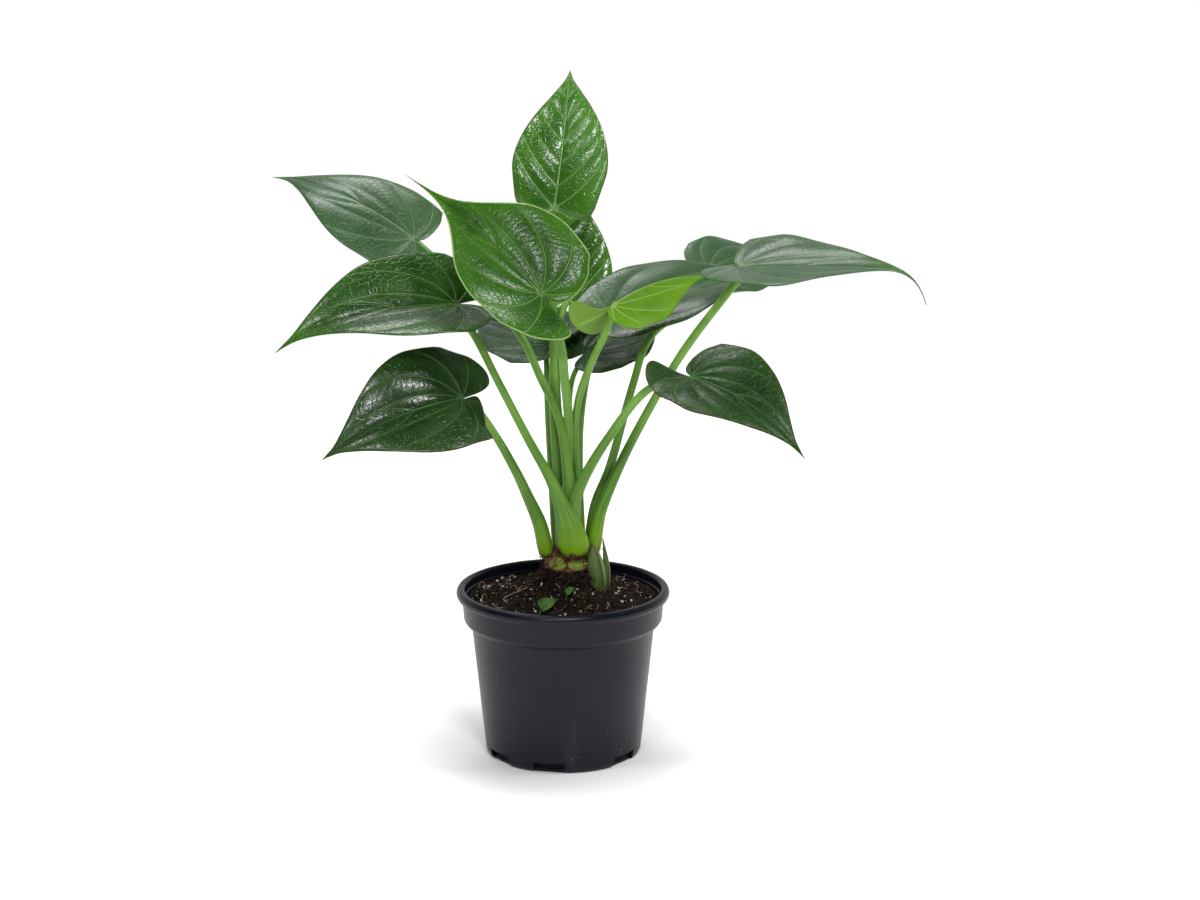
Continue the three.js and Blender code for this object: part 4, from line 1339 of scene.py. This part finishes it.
pot = kept(pot_object(pot_finish()), "pot")
soil = kept(soil_object(soil_finish()), "soil")
stem = kept(stem_object(stem_finish()), "stem")

shoot_skin = shoot_finish()
for name, shoot in SHOOTS.items():
    piece = shoot_object(name.replace("_", " "), shoot["path"], shoot["radii"], shoot_skin)
    kept(piece, name)

seedling_skin = plain_finish("seedling leaf", (0.03, 0.1, 0.01), (0.1, 0.24, 0.03), 160, 0.35, 0.0003)
for name, seedling in SEEDLINGS.items():
    blade = blade_object(f"{name} seedling leaf", seedling, seedling_skin, seedling_skin)
    kept(blade, f"seedling_{name}")
    kept(seedling_stalk(f"{name} seedling stalk", seedling, seedling_skin))

twig = plain_finish("pale twig", (0.2, 0.14, 0.09), (0.45, 0.34, 0.23), 200, 0.8, 0.0005)
piece = stalk_object("pale twig", TWIG_PATH, even(TWIG_RADIUS), UPWARD, steps=24, sides=8, finish=twig)
kept(piece)

perlite = plain_finish("perlite", (0.42, 0.38, 0.32), (0.8, 0.77, 0.7), 300, 0.85, 0.0008)
bark = plain_finish("bark crumb", (0.003, 0.002, 0.0015), (0.03, 0.017, 0.011), 200, 0.9, 0.001, 0.2)
root = plain_finish("root thread", (0.2, 0.13, 0.08), (0.5, 0.38, 0.25), 260, 0.8, 0.0005)
hair = plain_finish("dark fibre", (0.03, 0.013, 0.008), (0.16, 0.08, 0.045), 260, 0.8, 0.0005, 0.2)
paper = plain_finish("papery scrap", (0.08, 0.03, 0.016), (0.3, 0.16, 0.09), 150, 0.75, 0.0006, 0.3)

cx, cy = STEM_CENTRE
shares = np.linspace(0, 1, 12)
open_ground = ring_patch("open ground", [(cx * (1 - t), cy * (1 - t), 22 + 52 * t, None) for t in shares])
by_stem = ring_patch("ground by the stem", round_stem(*((20.5 + 20 * t, None) for t in shares)))
shoulder = ring_patch("shoulder", round_stem((20.6, 151), (20.2, 158), (16.8, 163), (9, 167)))
feet = low_faces(stalks, FEET_RISE)
foot = ring_patch("foot of the stem", round_stem((20.9, 153), (22, 149), (24.5, 145)))
crown = ring_patch("crown", round_stem((19.2, 160.5), (16.8, 163.3), (9, 167.3)))

# Bits: density, size, flatness, tumble, detail, seed. Threads: density, length, thickness, bend, tumble, seed
bits = bits_grower()
threads = threads_grower()
for grower, name, ground, *values in (
    (bits, "perlite bits", open_ground, 3400.0, 0.0021, 0.9, 3.14, 3, 3, perlite),
    (bits, "perlite grit", open_ground, 15000.0, 0.0008, 0.9, 3.14, 2, 13, perlite),
    (bits, "bark crumbs", open_ground, 90000.0, 0.0021, 0.8, 1.2, 2, 4, bark),
    (bits, "soil on the stem", by_stem, 170000.0, 0.0017, 0.9, 1.2, 2, 14, bark),
    (bits, "crumbs on the stem", foot, 260000.0, 0.0017, 0.9, 1.4, 2, 24, bark),
    (bits, "papery scraps", crown, 60000.0, 0.003, 0.14, 0.6, 2, 15, paper),
    (bits, "dry fringe", feet, 160000.0, 0.0019, 0.1, 0.5, 2, 25, paper),
    (threads, "root threads", open_ground, 1500.0, 0.036, 0.00028, 0.02, 0.2, 5, root),
    (threads, "fine roots", open_ground, 8000.0, 0.02, 0.00016, 0.014, 0.3, 16, hair),
    (threads, "fibres by the stem", by_stem, 26000.0, 0.02, 0.0002, 0.012, 0.5, 6, hair),
    (threads, "hanging fibres", foot, 60000.0, 0.018, 0.0002, 0.012, 0.7, 26, hair),
    (threads, "fringe fibres", feet, 90000.0, 0.012, 0.0002, 0.008, 0.35, 27, hair),
    (threads, "dry sheath fibres", shoulder, 26000.0, 0.02, 0.00024, 0.01, 0.25, 17, hair),
):
    nodes = ["dry_sheath"] if ground is shoulder else []
    piece = kept(grower.grow(name, ground, values), *nodes)
for ground in (open_ground, by_stem, shoulder, crown, foot, feet):
    bpy.data.objects.remove(ground)


def pale_floor():
    """A plain pale floor with a painted glow that fades into a painted shadow at the pot's foot, and that
    runs into the white room at its far edge.
    """
    finish = Finish("pale floor", roughness=0.8, specular=0.1)
    finish.paint(FLOOR_WHITE)
    x, y, _ = finish.place_parts()
    away = (x * x + y * y) ** 0.5
    # Painted light and shade: the floor glows, and its glow fades out near the pot into a painted shadow
    glow = away.fade(0.06, 0.17) * GLOW_NEAR + away.fade(0.3, 0.9) * GLOW_FAR
    painted_glow_and_shadow_colour = finish.blend((0.02, 0.02, 0.02), (1, 1, 1), glow)
    finish.colour_into(finish.surface.inputs["Emission Color"], painted_glow_and_shadow_colour)
    finish.surface.inputs["Emission Strength"].default_value = FLOOR_GLOW
    smooth_object("pale floor", FLOOR_CORNERS, [(0, 1, 2, 3)], [finish.material], smooth=False)


def soft_light(name, place, target, width, height, watts):
    light = bpy.data.lights.new(name, "AREA")
    light.shape = "RECTANGLE"
    light.size = width
    light.size_y = height
    light.energy = watts
    lamp = bpy.data.objects.new(name, light)
    lamp.location = place
    lamp.rotation_euler = (Vector(target) - Vector(place)).to_track_quat("-Z", "Y").to_euler()
    bpy.context.collection.objects.link(lamp)


def studio_world():
    """A white room: dim in front, bright behind and low down, and plain white where it is seen itself."""
    world = bpy.data.worlds.new("studio")
    world.use_nodes = True
    tree = world.node_tree
    way = tree.nodes.new("ShaderNodeSeparateXYZ")
    tree.links.new(tree.nodes.new("ShaderNodeTexCoord").outputs["Generated"], way.inputs[0])
    seen = Num(tree, tree.nodes.new("ShaderNodeLightPath").outputs["Is Camera Ray"])
    back = Num(tree, way.outputs["Y"]).fade(-0.1, 0.8)
    low = Num(tree, way.outputs["Z"]).fade(0.7, 0.2)
    glow = back * (low * WORLD_LOW + WORLD_BACK) + WORLD_FRONT
    shell = tree.nodes["Background"]
    shell.inputs["Color"].default_value = (1, 1, 1, 1)
    tree.links.new(seen.most(glow).socket, shell.inputs["Strength"])
    bpy.context.scene.world = world


pale_floor()
for name, light in LIGHTS.items():
    soft_light(name, *light)
studio_world()

camera = bpy.data.cameras.new("camera")
camera.lens = LENS
camera.sensor_width = SENSOR_WIDTH
camera.clip_end = 50
camera.dof.use_dof = False
eye = bpy.data.objects.new("camera", camera)
eye.location = EYE
eye.rotation_euler = (math.radians(90 - LOOKS_DOWN), 0, 0)
bpy.context.collection.objects.link(eye)
bpy.context.scene.camera = eye
bpy.context.scene.view_settings.view_transform = "Standard"
